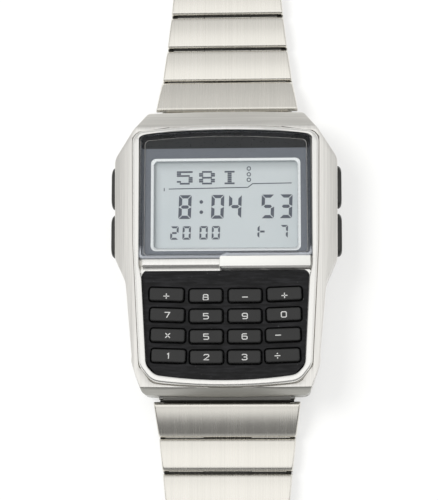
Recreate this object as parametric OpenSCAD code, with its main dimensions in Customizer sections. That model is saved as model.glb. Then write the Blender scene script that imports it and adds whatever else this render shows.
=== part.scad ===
// Calculator watch with a keypad under its display, on a tapering steel bracelet.
// It lies open on its case back: +X is 3 o'clock, +Y is 12 o'clock, +Z is the dial side.
// The origin is the middle of the case back's outer face. All sizes are in millimetres.

/* [Case] */
// Width of the case at its widest, without the pushers
case_width = 38; // [36:0.25:40]
// Length of the case from end to end
case_length = 48.9; // [46:0.1:52]
// How far the hood's end at 12 o'clock lies inside the widest line, on each side
hood_inset = 5.65; // [5.3:0.05:5.9]
// How far the corners between hood and shoulders lie inside the widest line
brow_inset = 3.2; // [3:0.05:3.4]
// How far the side lies inside the widest line below the pushers
hip_inset = 2; // [1.6:0.05:2.3]
// How far the side lies inside the widest line beside the last row of keys
foot_inset = 3.4; // [3.2:0.05:3.5]
// How far the end at 6 o'clock lies inside the widest line, on each side
tail_inset = 5.7; // [5.3:0.05:5.9]
// Distance from the hood's end to the corners between hood and shoulders
brow_margin = 3.55; // [3.4:0.05:3.7]
// Distance from the hood's end to the shoulders, where the case is widest
shoulder_margin = 8.25; // [8:0.05:8.6]
// Distance from the end at 6 o'clock to where the side turns in beside the last keys
foot_margin = 6.25; // [6:0.05:6.6]
// How much the case's ends bow outwards
end_bow = 0.3; // [0.1:0.05:0.6]
// Length of the hood's slope, seen from above
hood_run = 3.05; // [2.6:0.05:3.5]
// Drop of the hood and tail slopes, seen from the side
end_drop = 1.75; // [1.5:0.05:2.2]
// Length of the tail's slope, seen from above
tail_run = 1.5; // [1.2:0.05:1.9]
// Tilt of the flanks beside the rim, in degrees
flank_tilt = 24; // [15:1:30]
// Lean of the lower side facets, in degrees from upright
keel_lean = 34; // [20:1:40]
// Height of the lower side facets above the case back
keel_height = 2.5; // [1.5:0.1:3]
// Thickness of the wall between the module and the widest line
side_wall = 5.3; // [5.1:0.05:5.5]
// Thickness of the case back
back_thickness = 0.9; // [0.7:0.05:1.1]

/* [Rim and crystal] */
// Width of the flank between the widest line and the rim's top corners
flank_width = 3.05; // [2.9:0.05:3.2]
// How much narrower the rim is beside the last row of keys
rim_taper = 2.7; // [2.5:0.1:2.8]
// Distance from the hood's end to the rim's arch
hood_margin = 2.75; // [2.6:0.05:2.9]
// Distance from the end at 6 o'clock to the rim
tail_margin = 1.45; // [1.35:0.05:1.5]
// Height of the rim piece
rim_height = 1.5; // [1.2:0.05:1.8]
// How deep the rim piece sits in the case
rim_sink = 0.6; // [0.4:0.05:0.8]
// Bevel round the rim's top
rim_bevel = 0.3; // [0.1:0.05:0.4]
// Width of the rim's band beside the crystal
rim_band = 1.35; // [1.2:0.05:1.5]
// Width of the rim's band above the crystal
rim_brow = 1.02; // [0.9:0.02:1.2]
// Width of the rim's band below the keypad plate
rim_chin = 1.2; // [1:0.05:1.4]
// Place of the crystal's lower edge, from the case's middle
glass_foot = -1.33; // [-1.6:0.01:-1]
// Thickness of the crystal
crystal_thickness = 1.25; // [1:0.05:1.5]
// Thickness of the crystal's gasket
gasket_thickness = 0.25; // [0.2:0.05:0.35]
// How far the rim stands above the crystal
rim_proud = 0.15; // [0:0.05:0.3]
// Thickness of the printed mask
mask_thickness = 0.15; // [0.1:0.05:0.2]
// Height of the step in the crystal's lower edge
step_height = 0.44; // [0.2:0.02:0.6]

/* [Display] */
// Width of the mask on each side of the display
mask_side = 2.4; // [2.3:0.05:3]
// Width of the mask above the display
mask_head = 5.48; // [5:0.02:6]
// Width of the mask below the display, from the crystal's raised lower edge
mask_foot = 1.45; // [1.44:0.01:2]
// Width of the bright frame round the display
lcd_border = 0.57; // [0.4:0.01:0.7]
// Height of the bright frame
lcd_frame_height = 0.75; // [0.6:0.05:1]
// Thickness of the display's glass plates
lcd_thickness = 1.1; // [0.9:0.05:1.3]
// Thickness of the reflector under the display
reflector_thickness = 0.2; // [0.1:0.05:0.3]

/* [Keypad] */
// Height of the strip between crystal and keypad
strip_height = 2.27; // [2:0.01:2.5]
// How far the strip's left part lies below the rim's top
strip_drop = 0.4; // [0.2:0.05:0.5]
// How far the keypad plate's sides lie inside the crystal's
pad_inset = 0.45; // [0.4:0.05:0.6]
// How much narrower the keypad plate is beside the last row of keys
pad_taper = 1.7; // [1.5:0.1:1.9]
// Thickness of the keypad plate
pad_thickness = 0.85; // [0.6:0.05:1]
// Room on the plate above the first row of keys
pad_head = 2.96; // [2.8:0.02:3.2]
// Room on the plate below the last row of keys
pad_foot = 2.78; // [2.6:0.02:3]
// Room on the plate beside the keys of the first row
pad_side_room = 1.525; // [1.5:0.025:1.7]
// Gap between two keys of the first row
column_gap = 1.15; // [1.05:0.05:1.4]
// Gap between two rows of keys
row_gap = 1.3; // [1.2:0.02:1.5]
// How much the columns close up from row to row
column_squeeze = 0.08; // [0.05:0.01:0.1]
// Extra width of a key in the two outer columns
outer_extra = 0.25; // [0:0.05:0.3]
// How much higher the keys of the two outer columns sit
outer_lift = 0.23; // [0:0.01:0.3]
// How far the keys stand above the plate
key_rise = 0.6; // [0.4:0.05:0.8]
// Travel of a key
key_travel = 0.35; // [0.25:0.05:0.4]
// Tilt of the outer keys, in degrees
key_turn = 2; // [0:0.5:2]

/* [Module] */
// Diameter of the coin cell
cell_diameter = 20; // [18:0.5:20]
// Height of the coin cell
cell_height = 1.6; // [1.2:0.1:2]
// Thickness of the spring strap under the cell
strap_thickness = 0.3; // [0.2:0.05:0.4]
// Free height between the case back and the strap
back_room = 1.1; // [0.8:0.05:1.4]
// Thickness of the plastic web above the cell
web_thickness = 1.35; // [1:0.05:1.6]
// Thickness of the circuit board
board_thickness = 0.8; // [0.6:0.05:1]
// Room between the case's wall and the board, on each side
board_room = 1.4; // [1.3:0.05:1.6]
// Height of the rubber connectors between board and display
connector_height = 1.15; // [1:0.05:1.4]
// Thickness of the rubber sheet under the keys
sheet_thickness = 0.5; // [0.3:0.05:0.6]
// Diameter of the buzzer disc
buzzer_diameter = 12; // [10:0.5:13]
// Thickness of the buzzer disc
buzzer_thickness = 0.25; // [0.2:0.05:0.4]
// Place of the buzzer disc and of the chip above it, from the case's middle
buzzer_y = 8.5; // [8:0.1:9]
// Diameter of the moulded cap over the chip
chip_diameter = 6; // [5:0.1:7]

/* [Pushers] */
// Length of a pusher's head along the case
pusher_length = 7.4; // [7:0.1:7.5]
// Height of a pusher's head
pusher_height = 2.5; // [2.2:0.1:2.8]
// Spacing of the two pushers on a side
pusher_pitch = 8.3; // [8.2:0.05:8.5]
// Distance of the upper pushers from the shoulders
pusher_drop = 4.75; // [4.6:0.05:5]
// How far a pusher stands out of the case
pusher_stand = 0.7; // [0.65:0.05:1]
// Travel of a pusher
pusher_travel = 0.6; // [0.4:0.05:0.6]
// Diameter of a pusher's stem
stem_diameter = 1.6; // [1.4:0.1:1.8]
// Diameter of the wire of a pusher's spring
spring_wire = 0.3; // [0.2:0.02:0.32]

/* [Bracelet] */
// Distance from one hinge of the bracelet to the next
link_pitch = 6; // [5.5:0.1:6.5]
// Thickness of a link
link_thickness = 2.6; // [2.4:0.05:3]
// Height of a hinge axis above the link's underside
axis_height = 1.15; // [1.1:0.05:1.3]
// Gap between two links, seen from above
link_gap = 0.62; // [0.56:0.02:0.8]
// Gap between two links on the wrist side
under_gap = 0.28; // [0.24:0.02:0.4]
// Drop of a link's rounded top towards its ends
link_crown = 0.2; // [0.05:0.05:0.3]
// Downward slope of the first link of each side, in degrees
first_slope = 20; // [17:1:21]
// Distance from the case's spring bar to the first link's far hinge
first_pitch = 7.5; // [7.2:0.1:7.6]
// Distance from the spring bar to the near end of the first link's plate
plate_start = 1.2; // [1.1:0.05:1.4]
// How far the bracelet's sides lie inside the hood's end
band_inset = 1; // [0.8:0.05:1.2]
// Width of the bracelet at the clasp
clasp_band_width = 18; // [17.6:0.1:19]
// Length over which the bracelet tapers
taper_length = 31; // [24:1:40]
// Number of links on the 12 o'clock side
upper_links = 8; // [6:1:8]
// Number of links on the 6 o'clock side
lower_links = 7; // [5:1:7]
// Diameter of a link's hinge barrels
barrel_diameter = 1.7; // [1.6:0.05:1.8]
// Diameter of a link's pin
pin_diameter = 0.8; // [0.7:0.05:0.9]
// Width of a link's middle barrel
barrel_width = 8; // [7:0.1:9]
// Width over a link's outer barrels
knuckle_width = 14.8; // [14:0.1:15.5]
// Diameter of the two spring bars in the case
bar_diameter = 1.6; // [1.4:0.05:1.7]
// How far the first link's long barrel ends inside the bracelet's sides
end_barrel_inset = 1.85; // [1.7:0.05:2.2]

/* [Clasp] */
// Length of the clasp
clasp_length = 31; // [28:0.5:36]
// Thickness of the clasp's base plate
clasp_plate = 0.7; // [0.6:0.05:0.8]
// Length of the tongue
tongue_length = 12; // [11:0.5:14]
// Width and length of the tongue's window
tongue_window = [9.6, 2]; // [1:0.1:12]
// Distance from the tongue's end to its window
window_margin = 3.5; // [3:0.1:4]

/* [Fits] */
// Clearance round pieces that are set into another piece
seat_fit = 0.05; // [0.03:0.01:0.08]
// Radial clearance between a barrel and the pin that it turns on
running_fit = 0.05; // [0.03:0.01:0.08]
// Clearance round a key or a pusher's head in its opening
guide_fit = 0.1; // [0.06:0.01:0.12]
// Radial clearance of a pin or stem in the piece that holds it fast
hold_fit = 0.01; // [0.005:0.005:0.02]

/* [Hidden] */
$fn = 48;
steel = "silver";
polished_steel = "gainsboro";
far = 60;

// Heights, from the case back up
strap_z = back_thickness + back_room;
cell_z = strap_z + strap_thickness;
board_z = cell_z + cell_height + seat_fit + web_thickness;
board_top = board_z + board_thickness;
lcd_z = board_top + connector_height;
lcd_top = lcd_z + lcd_thickness;
crystal_z = lcd_top + lcd_frame_height;
crystal_top = crystal_z + crystal_thickness;
seat_z = crystal_z - gasket_thickness;
rim_top = crystal_top + rim_proud;
rim_z = rim_top - rim_height;
deck_z = rim_z + rim_sink;
ledge_thickness = 0.45;
ledge_width = 0.8;
ceiling_z = seat_z - ledge_thickness;
pad_top = seat_z + pad_thickness;

// Outlines, each point as [x, y, corner radius], right side from top to bottom
half_length = case_length / 2;
half_width = case_width / 2;
brow_y = half_length - brow_margin;
shoulder_y = half_length - shoulder_margin;
hip_y = -5;
foot_y = foot_margin - half_length;
case_side = [
    [half_width - hood_inset, half_length - end_bow, 1],
    [half_width - brow_inset, brow_y, 2],
    [half_width, shoulder_y, 2.5],
    [half_width - 0.1, -0.9, 2.5],
    [half_width - hip_inset, hip_y, 4],
    [half_width - foot_inset, foot_y, 4],
    [half_width - tail_inset, end_bow - half_length, 1.2]
];
rim_half = half_width - flank_width;
rim_foot_half = rim_half - rim_taper / 2;
rim_end = half_length - hood_margin;
rim_tail = tail_margin - half_length;
rim_bow_top = 1.2;
rim_bow_foot = 0.8;
glass_half = rim_half - rim_band;
glass_end = rim_end - rim_brow;
glass_bow = 0.7;
pad_half = glass_half - pad_inset;
pad_foot_half = pad_half - pad_taper / 2;
pad_start = glass_foot - strip_height;
pad_end = rim_tail + rim_chin;
pad_bow = 0.9;
view_half = glass_half - mask_side;
view_y0 = glass_foot + step_height + mask_foot;
view_y1 = glass_end - mask_head;

function rim_side(d) = [
    [rim_half - d, rim_end - rim_bow_top - d, 1.9],
    [rim_half - 0.2 - d, 1.5, 8],
    [rim_foot_half - d, rim_tail + 3.6 + d / 2, 2.2],
    [rim_foot_half - 2.2 - d / 2, rim_tail + rim_bow_foot + d, 2.2]
];
function pad_side(d) = [
    [pad_half - d, pad_start - d, 0.5],
    [pad_foot_half - d, pad_end + 2.5 + d / 2, 1.2],
    [pad_foot_half - 1.5 - d / 2, pad_end + pad_bow + d, 1.4]
];
cavity_half = half_width - side_wall;
function cavity_side(d, end, tail) = [
    [cavity_half - d, end - d, 1.5],
    [cavity_half - d, -12, 6],
    [cavity_half - 0.65 - d, tail + d, 1.5]
];
lower_cavity_end = half_length - 5.55;
cavity_end = half_length - 4.55;
cavity_tail = 3.55 - half_length;
cavity_split = board_z - 1.1;
back_inset = 4;
back_half = half_width - back_inset;
back_corner = [back_half - 2.6, half_length - 2.15];
back_side = [
    [back_corner.x, back_corner.y, 1],
    [back_half, back_corner.y - 3.8, 2],
    [back_half, 7.3 - back_corner.y, 4],
    [back_corner.x, -back_corner.y, 1]
];
groove_depth = 0.5;
groove_near = -0.25;
groove_away = -1.05;
screw_x = back_corner.x - 0.8;
screw_y = back_corner.y - 1.4;
screw_radius = 0.7;
screw_reach = 2.3;
head_radius = 1.2;
head_z = 0.6;

// Places of the hinges
lip = 0.55;
hinge_y = half_length - lip;
hinge_z = axis_height + first_pitch * sin(first_slope);
next_hinge_y = hinge_y + first_pitch * cos(first_slope);
bar_barrel_radius = bar_diameter / 2 + running_fit + 0.4;
recess_wall = hinge_y - bar_barrel_radius - 0.15;
recess_top = hinge_z + bar_barrel_radius + 0.15;
band_end_half = half_width - hood_inset - band_inset;
end_barrel_half = band_end_half - end_barrel_inset;
recess_half = end_barrel_half + 1.15;
bar_half = recess_half + 1.25;
bar_tip_radius = 0.4;
lug_tip_z = hinge_z - 0.95;

// Pushers and what holds them
pusher_z = board_z + 0.3;
upper_pusher_y = shoulder_y - pusher_drop;
pusher_rows = [upper_pusher_y - pusher_pitch, upper_pusher_y];
pocket_floor = half_width - 1.5;
head_inner = pocket_floor + pusher_travel + seat_fit;
spring_room = 1.8;
spring_seat = pocket_floor - spring_room;
spring_bore_radius = stem_diameter / 2 + 0.5;
seal_x = spring_seat - 0.9;
seal_width = 0.4;
seal_bore_radius = stem_diameter / 2 + seal_width;
clip_thickness = 0.25;
clip_x = cavity_half - clip_thickness - 0.1;
stem_end = clip_x - 0.25;
clip_radius = stem_diameter / 2 + 0.4;

// Keys and the sheet under them
flange_gap = 0.1;
flange_thickness = 0.4;
flange_border = 0.3;
flange_top = seat_z - flange_gap;
flange_z = flange_top - flange_thickness;
sheet_top = flange_z - key_travel - seat_fit;
column_pitch = (2 * (pad_half - pad_side_room) + column_gap) / 4;
key_width = column_pitch - column_gap;
row_pitch = (pad_start - pad_end - pad_head - pad_foot + row_gap) / 4;
key_length = row_pitch - row_gap;
first_row = pad_start - pad_head - key_length / 2;

// Clasp
cover_axis_y = 3.2;
cover_axis_z = -0.1;
ear_radius = 0.85;
rail_half = clasp_band_width / 2 - 0.4;
rail_thickness = 1;
rail_top = 0.55;
cover_half = rail_half + 0.5;
cover_wall = 0.4;
cover_top = 1.5;
cover_thickness = 0.55;

// Outline helpers: rounded corners and bowed edges, worked out as points
function unit(v) = v / norm(v);
function arc_point(centre, radius, angle) = centre + radius * [cos(angle), sin(angle)];
function shortest(turn) = turn > 180 ? turn - 360 : turn < -180 ? turn + 360 : turn;
function corner(before, at, after, radius, steps) =
    let (
        to_before = unit(before - at),
        to_after = unit(after - at),
        half_angle = acos(to_before * to_after) / 2,
        centre = at + unit(to_before + to_after) * radius / sin(half_angle),
        first = at + to_before * radius / tan(half_angle) - centre,
        last = at + to_after * radius / tan(half_angle) - centre,
        start = atan2(first.y, first.x),
        turn = shortest(atan2(last.y, last.x) - start)
    )
    [for (i = [0:steps]) arc_point(centre, radius, start + turn * i / steps)];
function flat(p) = [p.x, p.y];
function rounded(points, steps = 5) =
    let (n = len(points))
    [for (i = [0:n - 1])
        each points[i][2] > 0
            ? corner(flat(points[(i + n - 1) % n]), flat(points[i]), flat(points[(i + 1) % n]), points[i][2], steps)
            : [flat(points[i])]];
function other_side(side) = [for (i = [len(side) - 1:-1:0]) [-side[i][0], side[i][1], side[i][2]]];
// Points of a bowed edge between (x, y) and (-x, y), which swells by rise
function bow(x, y, rise, steps = 10) =
    [for (i = [1:steps - 1]) let (t = 1 - 2 * i / steps) [x * t, y + rise * (1 - t * t), 0]];
function outline(side, top_rise = 0, foot_rise = 0) =
    let (top = side[0], foot = side[len(side) - 1])
    rounded(concat(
        side,
        foot_rise > 0 ? bow(foot.x, foot.y, -foot_rise) : [],
        other_side(side),
        top_rise > 0 ? bow(-top.x, top.y, top_rise) : []
    ));
function rectangle(x0, x1, y0, y1, r) = rounded([[x0, y0, r], [x1, y0, r], [x1, y1, r], [x0, y1, r]]);

rim_points = outline(rim_side(0), rim_bow_top, rim_bow_foot);
function pad_points(d) = outline(pad_side(d), 0, pad_bow);
// The crystal's lower edge steps up from its left half to its right half
function glass_points(d) = rounded(concat(
    [[glass_half - 0.05 - d, glass_end - glass_bow - d, 0.8]],
    [[glass_half + 0.05 - d, glass_foot + step_height + d, 0.5]],
    [[0.2, glass_foot + step_height + d, 0.2]],
    [[-0.9, glass_foot + d, 0.2]],
    [[-glass_half - 0.05 + d, glass_foot + d, 0.5]],
    [[-glass_half + 0.05 + d, glass_end - glass_bow - d, 0.8]],
    bow(-glass_half + 0.05 + d, glass_end - glass_bow - d, glass_bow)
));

// Upright prism over an outline
module prism(points, z0, z1) {
    translate([0, 0, z0]) linear_extrude(z1 - z0) polygon(points);
}
// Prism along X over an outline given as [y, z]
module side_prism(points, x0, x1) {
    translate([x0, 0, 0]) rotate([90, 0, 90]) linear_extrude(x1 - x0) polygon(points);
}
// Prism inside the case's lower opening, smaller all round by d
module back_ring(d, z0, z1) {
    prism(outline(cavity_side(d, lower_cavity_end, -lower_cavity_end)), z0, z1);
}
module block(x0, x1, y0, y1, z0, z1) {
    translate([x0, y0, z0]) cube([x1 - x0, y1 - y0, z1 - z0]);
}
module upright(x, y, z0, z1, radius) {
    translate([x, y, z0]) cylinder(r = radius, h = z1 - z0);
}
// Round bar along X at [y, z]
module bar(y, z, x0, x1, radius) {
    translate([x0, y, z]) rotate([0, 90, 0]) cylinder(r = radius, h = x1 - x0);
}
module both_sides() {
    children();
    mirror([1, 0, 0]) children();
}
module both_ends() {
    children();
    mirror([0, 1, 0]) children();
}

// Outside of the case: a slab with its slopes cut off
module case_blank() {
    rim_line = rim_side(0);
    line_turn = atan((rim_line[0].x - rim_line[2].x) / (rim_line[0].y - rim_line[2].y));
    difference() {
        prism(outline(case_side, end_bow, end_bow), back_thickness, deck_z);
        translate([0, half_length - hood_run, deck_z]) rotate([-atan(end_drop / hood_run), 0, 0])
            block(-far, far, 0, far, 0, far);
        translate([0, tail_run - half_length, deck_z]) rotate([atan(end_drop / tail_run), 0, 0])
            block(-far, far, -far, 0, 0, far);
        both_sides() {
            translate([rim_line[0].x, rim_line[0].y, deck_z]) rotate([0, 0, -line_turn])
                rotate([0, flank_tilt, 0]) block(0, far, -far, far, 0, far);
            translate([half_width, 0, back_thickness + keel_height]) rotate([0, keel_lean, 0])
                block(0, far, -far, far, -far, far);
        }
        both_ends() translate([0, recess_wall, back_thickness])
            rotate([atan((lug_tip_z - back_thickness) / (half_length - recess_wall)), 0, 0])
                block(-far, far, 0, far, -far, 0);
    }
}
module pusher_holes() {
    for (y = pusher_rows) {
        side_prism(
            rectangle(
                y - pusher_length / 2 - guide_fit, y + pusher_length / 2 + guide_fit,
                pusher_z - pusher_height / 2 - guide_fit, pusher_z + pusher_height / 2 + guide_fit,
                pusher_height / 2
            ),
            pocket_floor, far);
        bar(y, pusher_z, spring_seat, far, spring_bore_radius);
        bar(y, pusher_z, stem_end, far, stem_diameter / 2 + running_fit);
        bar(y, pusher_z, seal_x - seal_width / 2 - seat_fit, seal_x + seal_width / 2 + seat_fit, seal_bore_radius);
    }
}
module case_body() {
    color(steel) difference() {
        case_blank();
        prism(rim_points, rim_z, far);
        prism(glass_points(0), seat_z, far);
        prism(glass_points(ledge_width), ceiling_z - 1, far);
        prism(pad_points(0), seat_z, far);
        prism(pad_points(0.5), ceiling_z - 1, far);
        back_ring(0, 0, cavity_split + 0.1);
        prism(outline(cavity_side(0, cavity_end, cavity_tail)), cavity_split, ceiling_z);
        difference() {
            back_ring(groove_away, 0, back_thickness + groove_depth);
            back_ring(groove_near, 0, far);
        }
        both_sides() pusher_holes();
        both_ends() {
            block(-recess_half, recess_half, recess_wall, far, 0, recess_top);
            bar(hinge_y, hinge_z, -bar_half - seat_fit, bar_half + seat_fit, bar_tip_radius + seat_fit);
            both_sides() upright(screw_x, screw_y, 0, back_thickness + screw_reach + 0.1, screw_radius);
        }
    }
}
module bezel_rim() {
    color(polished_steel) difference() {
        hull() {
            prism(outline(rim_side(seat_fit), rim_bow_top, rim_bow_foot), rim_z, rim_top - rim_bevel);
            prism(outline(rim_side(seat_fit + rim_bevel), rim_bow_top, rim_bow_foot), rim_z, rim_top);
        }
        prism(glass_points(0), rim_z - 1, far);
        prism(pad_points(0), rim_z - 1, far);
        block(-glass_half, -0.35, pad_start - 0.5, glass_foot + 0.5, rim_top - strip_drop, far);
    }
}
module crystal() {
    color("lightblue", 0.4) prism(glass_points(seat_fit), crystal_z, crystal_top);
}
module crystal_gasket() {
    color("dimgray") difference() {
        prism(glass_points(seat_fit), seat_z, crystal_z);
        prism(glass_points(ledge_width - seat_fit), seat_z - 1, crystal_z + 1);
    }
}
module around_view(border, z0, z1) {
    prism(
        rectangle(
            -view_half - border, view_half + border,
            view_y0 - border, view_y1 + border,
            0.6 + border / 2
        ),
        z0, z1);
}
module dial_mask() {
    color("slategray") difference() {
        prism(glass_points(ledge_width), crystal_z - mask_thickness, crystal_z);
        around_view(lcd_border + seat_fit, crystal_z - 1, crystal_z + 1);
    }
}
module lcd_frame() {
    color(polished_steel) difference() {
        around_view(lcd_border, lcd_top, crystal_z);
        around_view(0, lcd_top - 1, crystal_z + 1);
    }
}
// The display's glass reaches past the view at both ends, over the rubber connectors
lcd_reach = 1.4;
lcd_half = view_half + 0.2;
lcd_y0 = view_y0 - lcd_reach;
lcd_y1 = view_y1 + lcd_reach;
connector_width = 0.7;
module lcd_panel() {
    color("lightsteelblue") block(-lcd_half, lcd_half, lcd_y0, lcd_y1, lcd_z, lcd_top);
}
module lcd_reflector() {
    color("white") block(
        -lcd_half + 0.2, lcd_half - 0.2,
        lcd_y0 + connector_width + 0.35, lcd_y1 - connector_width - 0.35,
        lcd_z - reflector_thickness, lcd_z);
}
module lcd_connectors() {
    color("hotpink") for (y = [lcd_y0 + 0.1, lcd_y1 - connector_width - 0.1])
        block(-lcd_half + 1, lcd_half - 1, y, y + connector_width, board_top, lcd_z);
}

// Keys: columns from left to right and rows from top to bottom, both counted from 1
function is_outer(column) = column == 1 || column == 4;
function key_x(row, column) = (column - 2.5) * (column_pitch - (row - 1) * column_squeeze);
function key_y(row, column) = first_row - (row - 1) * row_pitch + (is_outer(column) ? outer_lift : 0);
function key_angle(column) = column == 1 ? -key_turn : column == 4 ? key_turn : 0;
module key_block(row, column, border, z0, z1) {
    half_x = (key_width + (is_outer(column) ? outer_extra : 0)) / 2 + border;
    half_y = key_length / 2 + border;
    translate([key_x(row, column), key_y(row, column), 0]) rotate([0, 0, key_angle(column)])
        prism(rectangle(-half_x, half_x, -half_y, half_y, 0.4 + max(border, 0)), z0, z1);
}
module key(row, column) {
    color("darkslategray") {
        key_block(row, column, flange_border, flange_z, flange_top);
        key_block(row, column, 0, flange_z, pad_top + key_rise);
    }
}
module keypad_plate() {
    color("black") difference() {
        prism(pad_points(seat_fit), seat_z, pad_top);
        for (row = [1:4], column = [1:4])
            key_block(row, column, guide_fit, seat_z - 1, pad_top + 1);
    }
}
sheet_half = cavity_half - 1.3;
sheet_start = first_row + key_length / 2 + 0.9;
sheet_tail = cavity_tail + 1.3;
module key_membrane() {
    skirt = 0.6;
    color("gray") {
        difference() {
            block(-sheet_half, sheet_half, sheet_tail, sheet_start, board_top, sheet_top);
            block(
                -sheet_half + skirt, sheet_half - skirt,
                sheet_tail + skirt, sheet_start - skirt,
                board_top - 1, sheet_top - sheet_thickness);
        }
        for (row = [1:4], column = [1:4])
            upright(key_x(row, column), key_y(row, column), board_top + key_travel, sheet_top, 0.8);
    }
}

// Module: board, plastic frame, cell
board_half = cavity_half - board_room;
post_x = board_half - 2.8;
post_y = -1.5;
board_end = cavity_end - 2.5;
board_tail = cavity_tail + 0.7;
frame_end = board_end + 0.8;
frame_tail = 0.3 - lower_cavity_end;
cell_y = frame_tail + cell_diameter / 2 + 0.7;
strap_half = 2;
module circuit_board() {
    color("darkgreen") {
        difference() {
            prism(rectangle(-board_half, board_half, board_tail, board_end, 1), board_z, board_top);
            both_sides() block(post_x - 1.1, post_x + 1.1, post_y - 0.55, post_y + 0.55, 0, far);
        }
        upright(0, buzzer_y, board_top, lcd_z - reflector_thickness - 0.1, chip_diameter / 2);
    }
}
module module_frame() {
    leg_x = board_half - 1.3;
    leg_y = lower_cavity_end - 2.7;
    leg_radius = 0.9;
    ring_z = lcd_z - 0.2;
    ring_half = lcd_half + 0.9;
    color("ivory") {
        difference() {
            prism(rectangle(-board_half, board_half, frame_tail, frame_end, 1), cell_z, board_z);
            upright(0, cell_y, cell_z - 1, cell_z + cell_height + seat_fit, cell_diameter / 2 + 0.1);
        }
        both_sides() {
            both_ends() upright(leg_x, leg_y, back_thickness + seat_fit, cell_z, leg_radius);
            block(post_x - 1, post_x + 1, post_y - 0.45, post_y + 0.45, board_z, ring_z);
            block(leg_x - 3, leg_x, board_end + seat_fit, frame_end, board_z, ring_z);
        }
        difference() {
            block(-ring_half, ring_half, post_y - 0.5, frame_end, ring_z, lcd_top);
            block(-lcd_half - 0.1, lcd_half + 0.1, lcd_y0 - 0.1, lcd_y1 + 0.1, ring_z - 1, far);
        }
    }
}
module battery() {
    color("lightgray") {
        upright(0, cell_y, cell_z, cell_z + cell_height * 0.7, cell_diameter / 2);
        upright(0, cell_y, cell_z, cell_z + cell_height, cell_diameter / 2 - 0.8);
    }
}
module battery_clip() {
    color("goldenrod") block(
        -board_half + 0.3, board_half - 0.3,
        cell_y - strap_half, cell_y + strap_half,
        strap_z, cell_z);
}
module buzzer_element() {
    color("khaki") upright(0, buzzer_y, back_thickness, back_thickness + buzzer_thickness, buzzer_diameter / 2);
}

// Case back, its gasket and its screws
module case_back() {
    color(steel) difference() {
        union() {
            prism(outline(back_side), 0, back_thickness);
            difference() {
                back_ring(0.15, 0, back_thickness + 0.6);
                back_ring(0.95, back_thickness, far);
            }
        }
        both_ends() both_sides() {
            upright(screw_x, screw_y, -1, far, screw_radius + seat_fit);
            upright(screw_x, screw_y, -1, head_z, head_radius + seat_fit);
        }
    }
}
module case_back_gasket() {
    color("dimgray") difference() {
        back_ring(groove_away + seat_fit, back_thickness, back_thickness + groove_depth - seat_fit);
        back_ring(groove_near - seat_fit, 0, far);
    }
}
module case_back_screws() {
    slot = 0.15;
    color("gray") both_ends() both_sides() difference() {
        union() {
            upright(screw_x, screw_y, 0.05, head_z, head_radius);
            upright(screw_x, screw_y, 0.05, back_thickness + screw_reach, screw_radius);
        }
        block(screw_x - head_radius - 1, screw_x + head_radius + 1, screw_y - slot, screw_y + slot, -1, head_z / 2);
    }
}
module case_spring_bars() {
    color("gray") both_ends() {
        bar(hinge_y, hinge_z, -recess_half + 0.1, recess_half - 0.1, bar_diameter / 2);
        bar(hinge_y, hinge_z, -bar_half, bar_half, bar_tip_radius);
    }
}

// Pushers: modelled at 3 o'clock and mirrored to 9 o'clock
module pusher(side, y) {
    head_out = half_width + pusher_stand;
    nose = 0.45;
    y0 = y - pusher_length / 2;
    y1 = y + pusher_length / 2;
    mirror([side < 0 ? 1 : 0, 0, 0]) color("black") {
        intersection() {
            side_prism(
                rectangle(y0, y1, pusher_z - pusher_height / 2, pusher_z + pusher_height / 2, pusher_height / 2 - 0.1),
                head_inner, head_out);
            prism([
                [head_inner, y0], [head_out - nose, y0], [head_out, y0 + nose * 2],
                [head_out, y1 - nose * 2], [head_out - nose, y1], [head_inner, y1]
            ], 0, far);
        }
        bar(y, pusher_z, stem_end, head_inner + 0.2, stem_diameter / 2);
    }
    mirror([side < 0 ? 1 : 0, 0, 0]) color("gray") difference() {
        bar(y, pusher_z, clip_x, clip_x + clip_thickness, clip_radius);
        bar(y, pusher_z, 0, far, stem_diameter / 2 + hold_fit);
    }
}
module at_pushers() {
    both_sides() for (y = pusher_rows)
        translate([0, y, pusher_z]) rotate([0, 90, 0]) children();
}
// Wire wound round Z as one unbroken tube
module coil(radius, wire, length, turns) {
    per_turn = 10;
    sides = 6;
    rings = per_turn * turns;
    climb = length - wire;
    points = [for (i = [0:rings], j = [0:sides - 1])
        let (
            angle = 360 * i / per_turn,
            reach = radius + wire / 2 * cos(360 * j / sides),
            height = wire / 2 + climb * i / rings + wire / 2 * sin(360 * j / sides)
        )
        [reach * cos(angle), reach * sin(angle), height]];
    walls = [for (i = [0:rings - 1], j = [0:sides - 1])
        let (a = i * sides + j, b = i * sides + (j + 1) % sides)
        each [[a, b, b + sides], [a, b + sides, a + sides]]];
    first_cap = [for (j = [1:sides - 2]) [0, j + 1, j]];
    last_cap = [for (j = [1:sides - 2]) rings * sides * [1, 1, 1] + [0, j, j + 1]];
    polyhedron(points, concat(walls, first_cap, last_cap));
}
module pusher_springs() {
    color("lightgray") at_pushers() translate([0, 0, spring_seat])
        coil(stem_diameter / 2 + 0.1 + spring_wire / 2, spring_wire, spring_room, 4);
}
module pusher_seals() {
    section = seal_width / 2 - 0.02;
    color("dimgray") at_pushers() translate([0, 0, seal_x])
        rotate_extrude() translate([stem_diameter / 2 + seal_width / 2, 0]) circle(section);
}

// Bracelet: a link's own frame has its near hinge at the origin and its far hinge at +Y
bottom = -axis_height;
top = link_thickness - axis_height;
barrel_radius = barrel_diameter / 2;
pocket_radius = barrel_radius + 0.1;
pin_radius = pin_diameter / 2;
barrel_half = barrel_width / 2;
knuckle_half = knuckle_width / 2;
side_play = 0.1;
taper_curve = 1.57;
function band_half(s) =
    let (clasp_half = clasp_band_width / 2)
    clasp_half + (band_end_half - clasp_half) * pow(max(0, 1 - s / taper_length), taper_curve);
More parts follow.
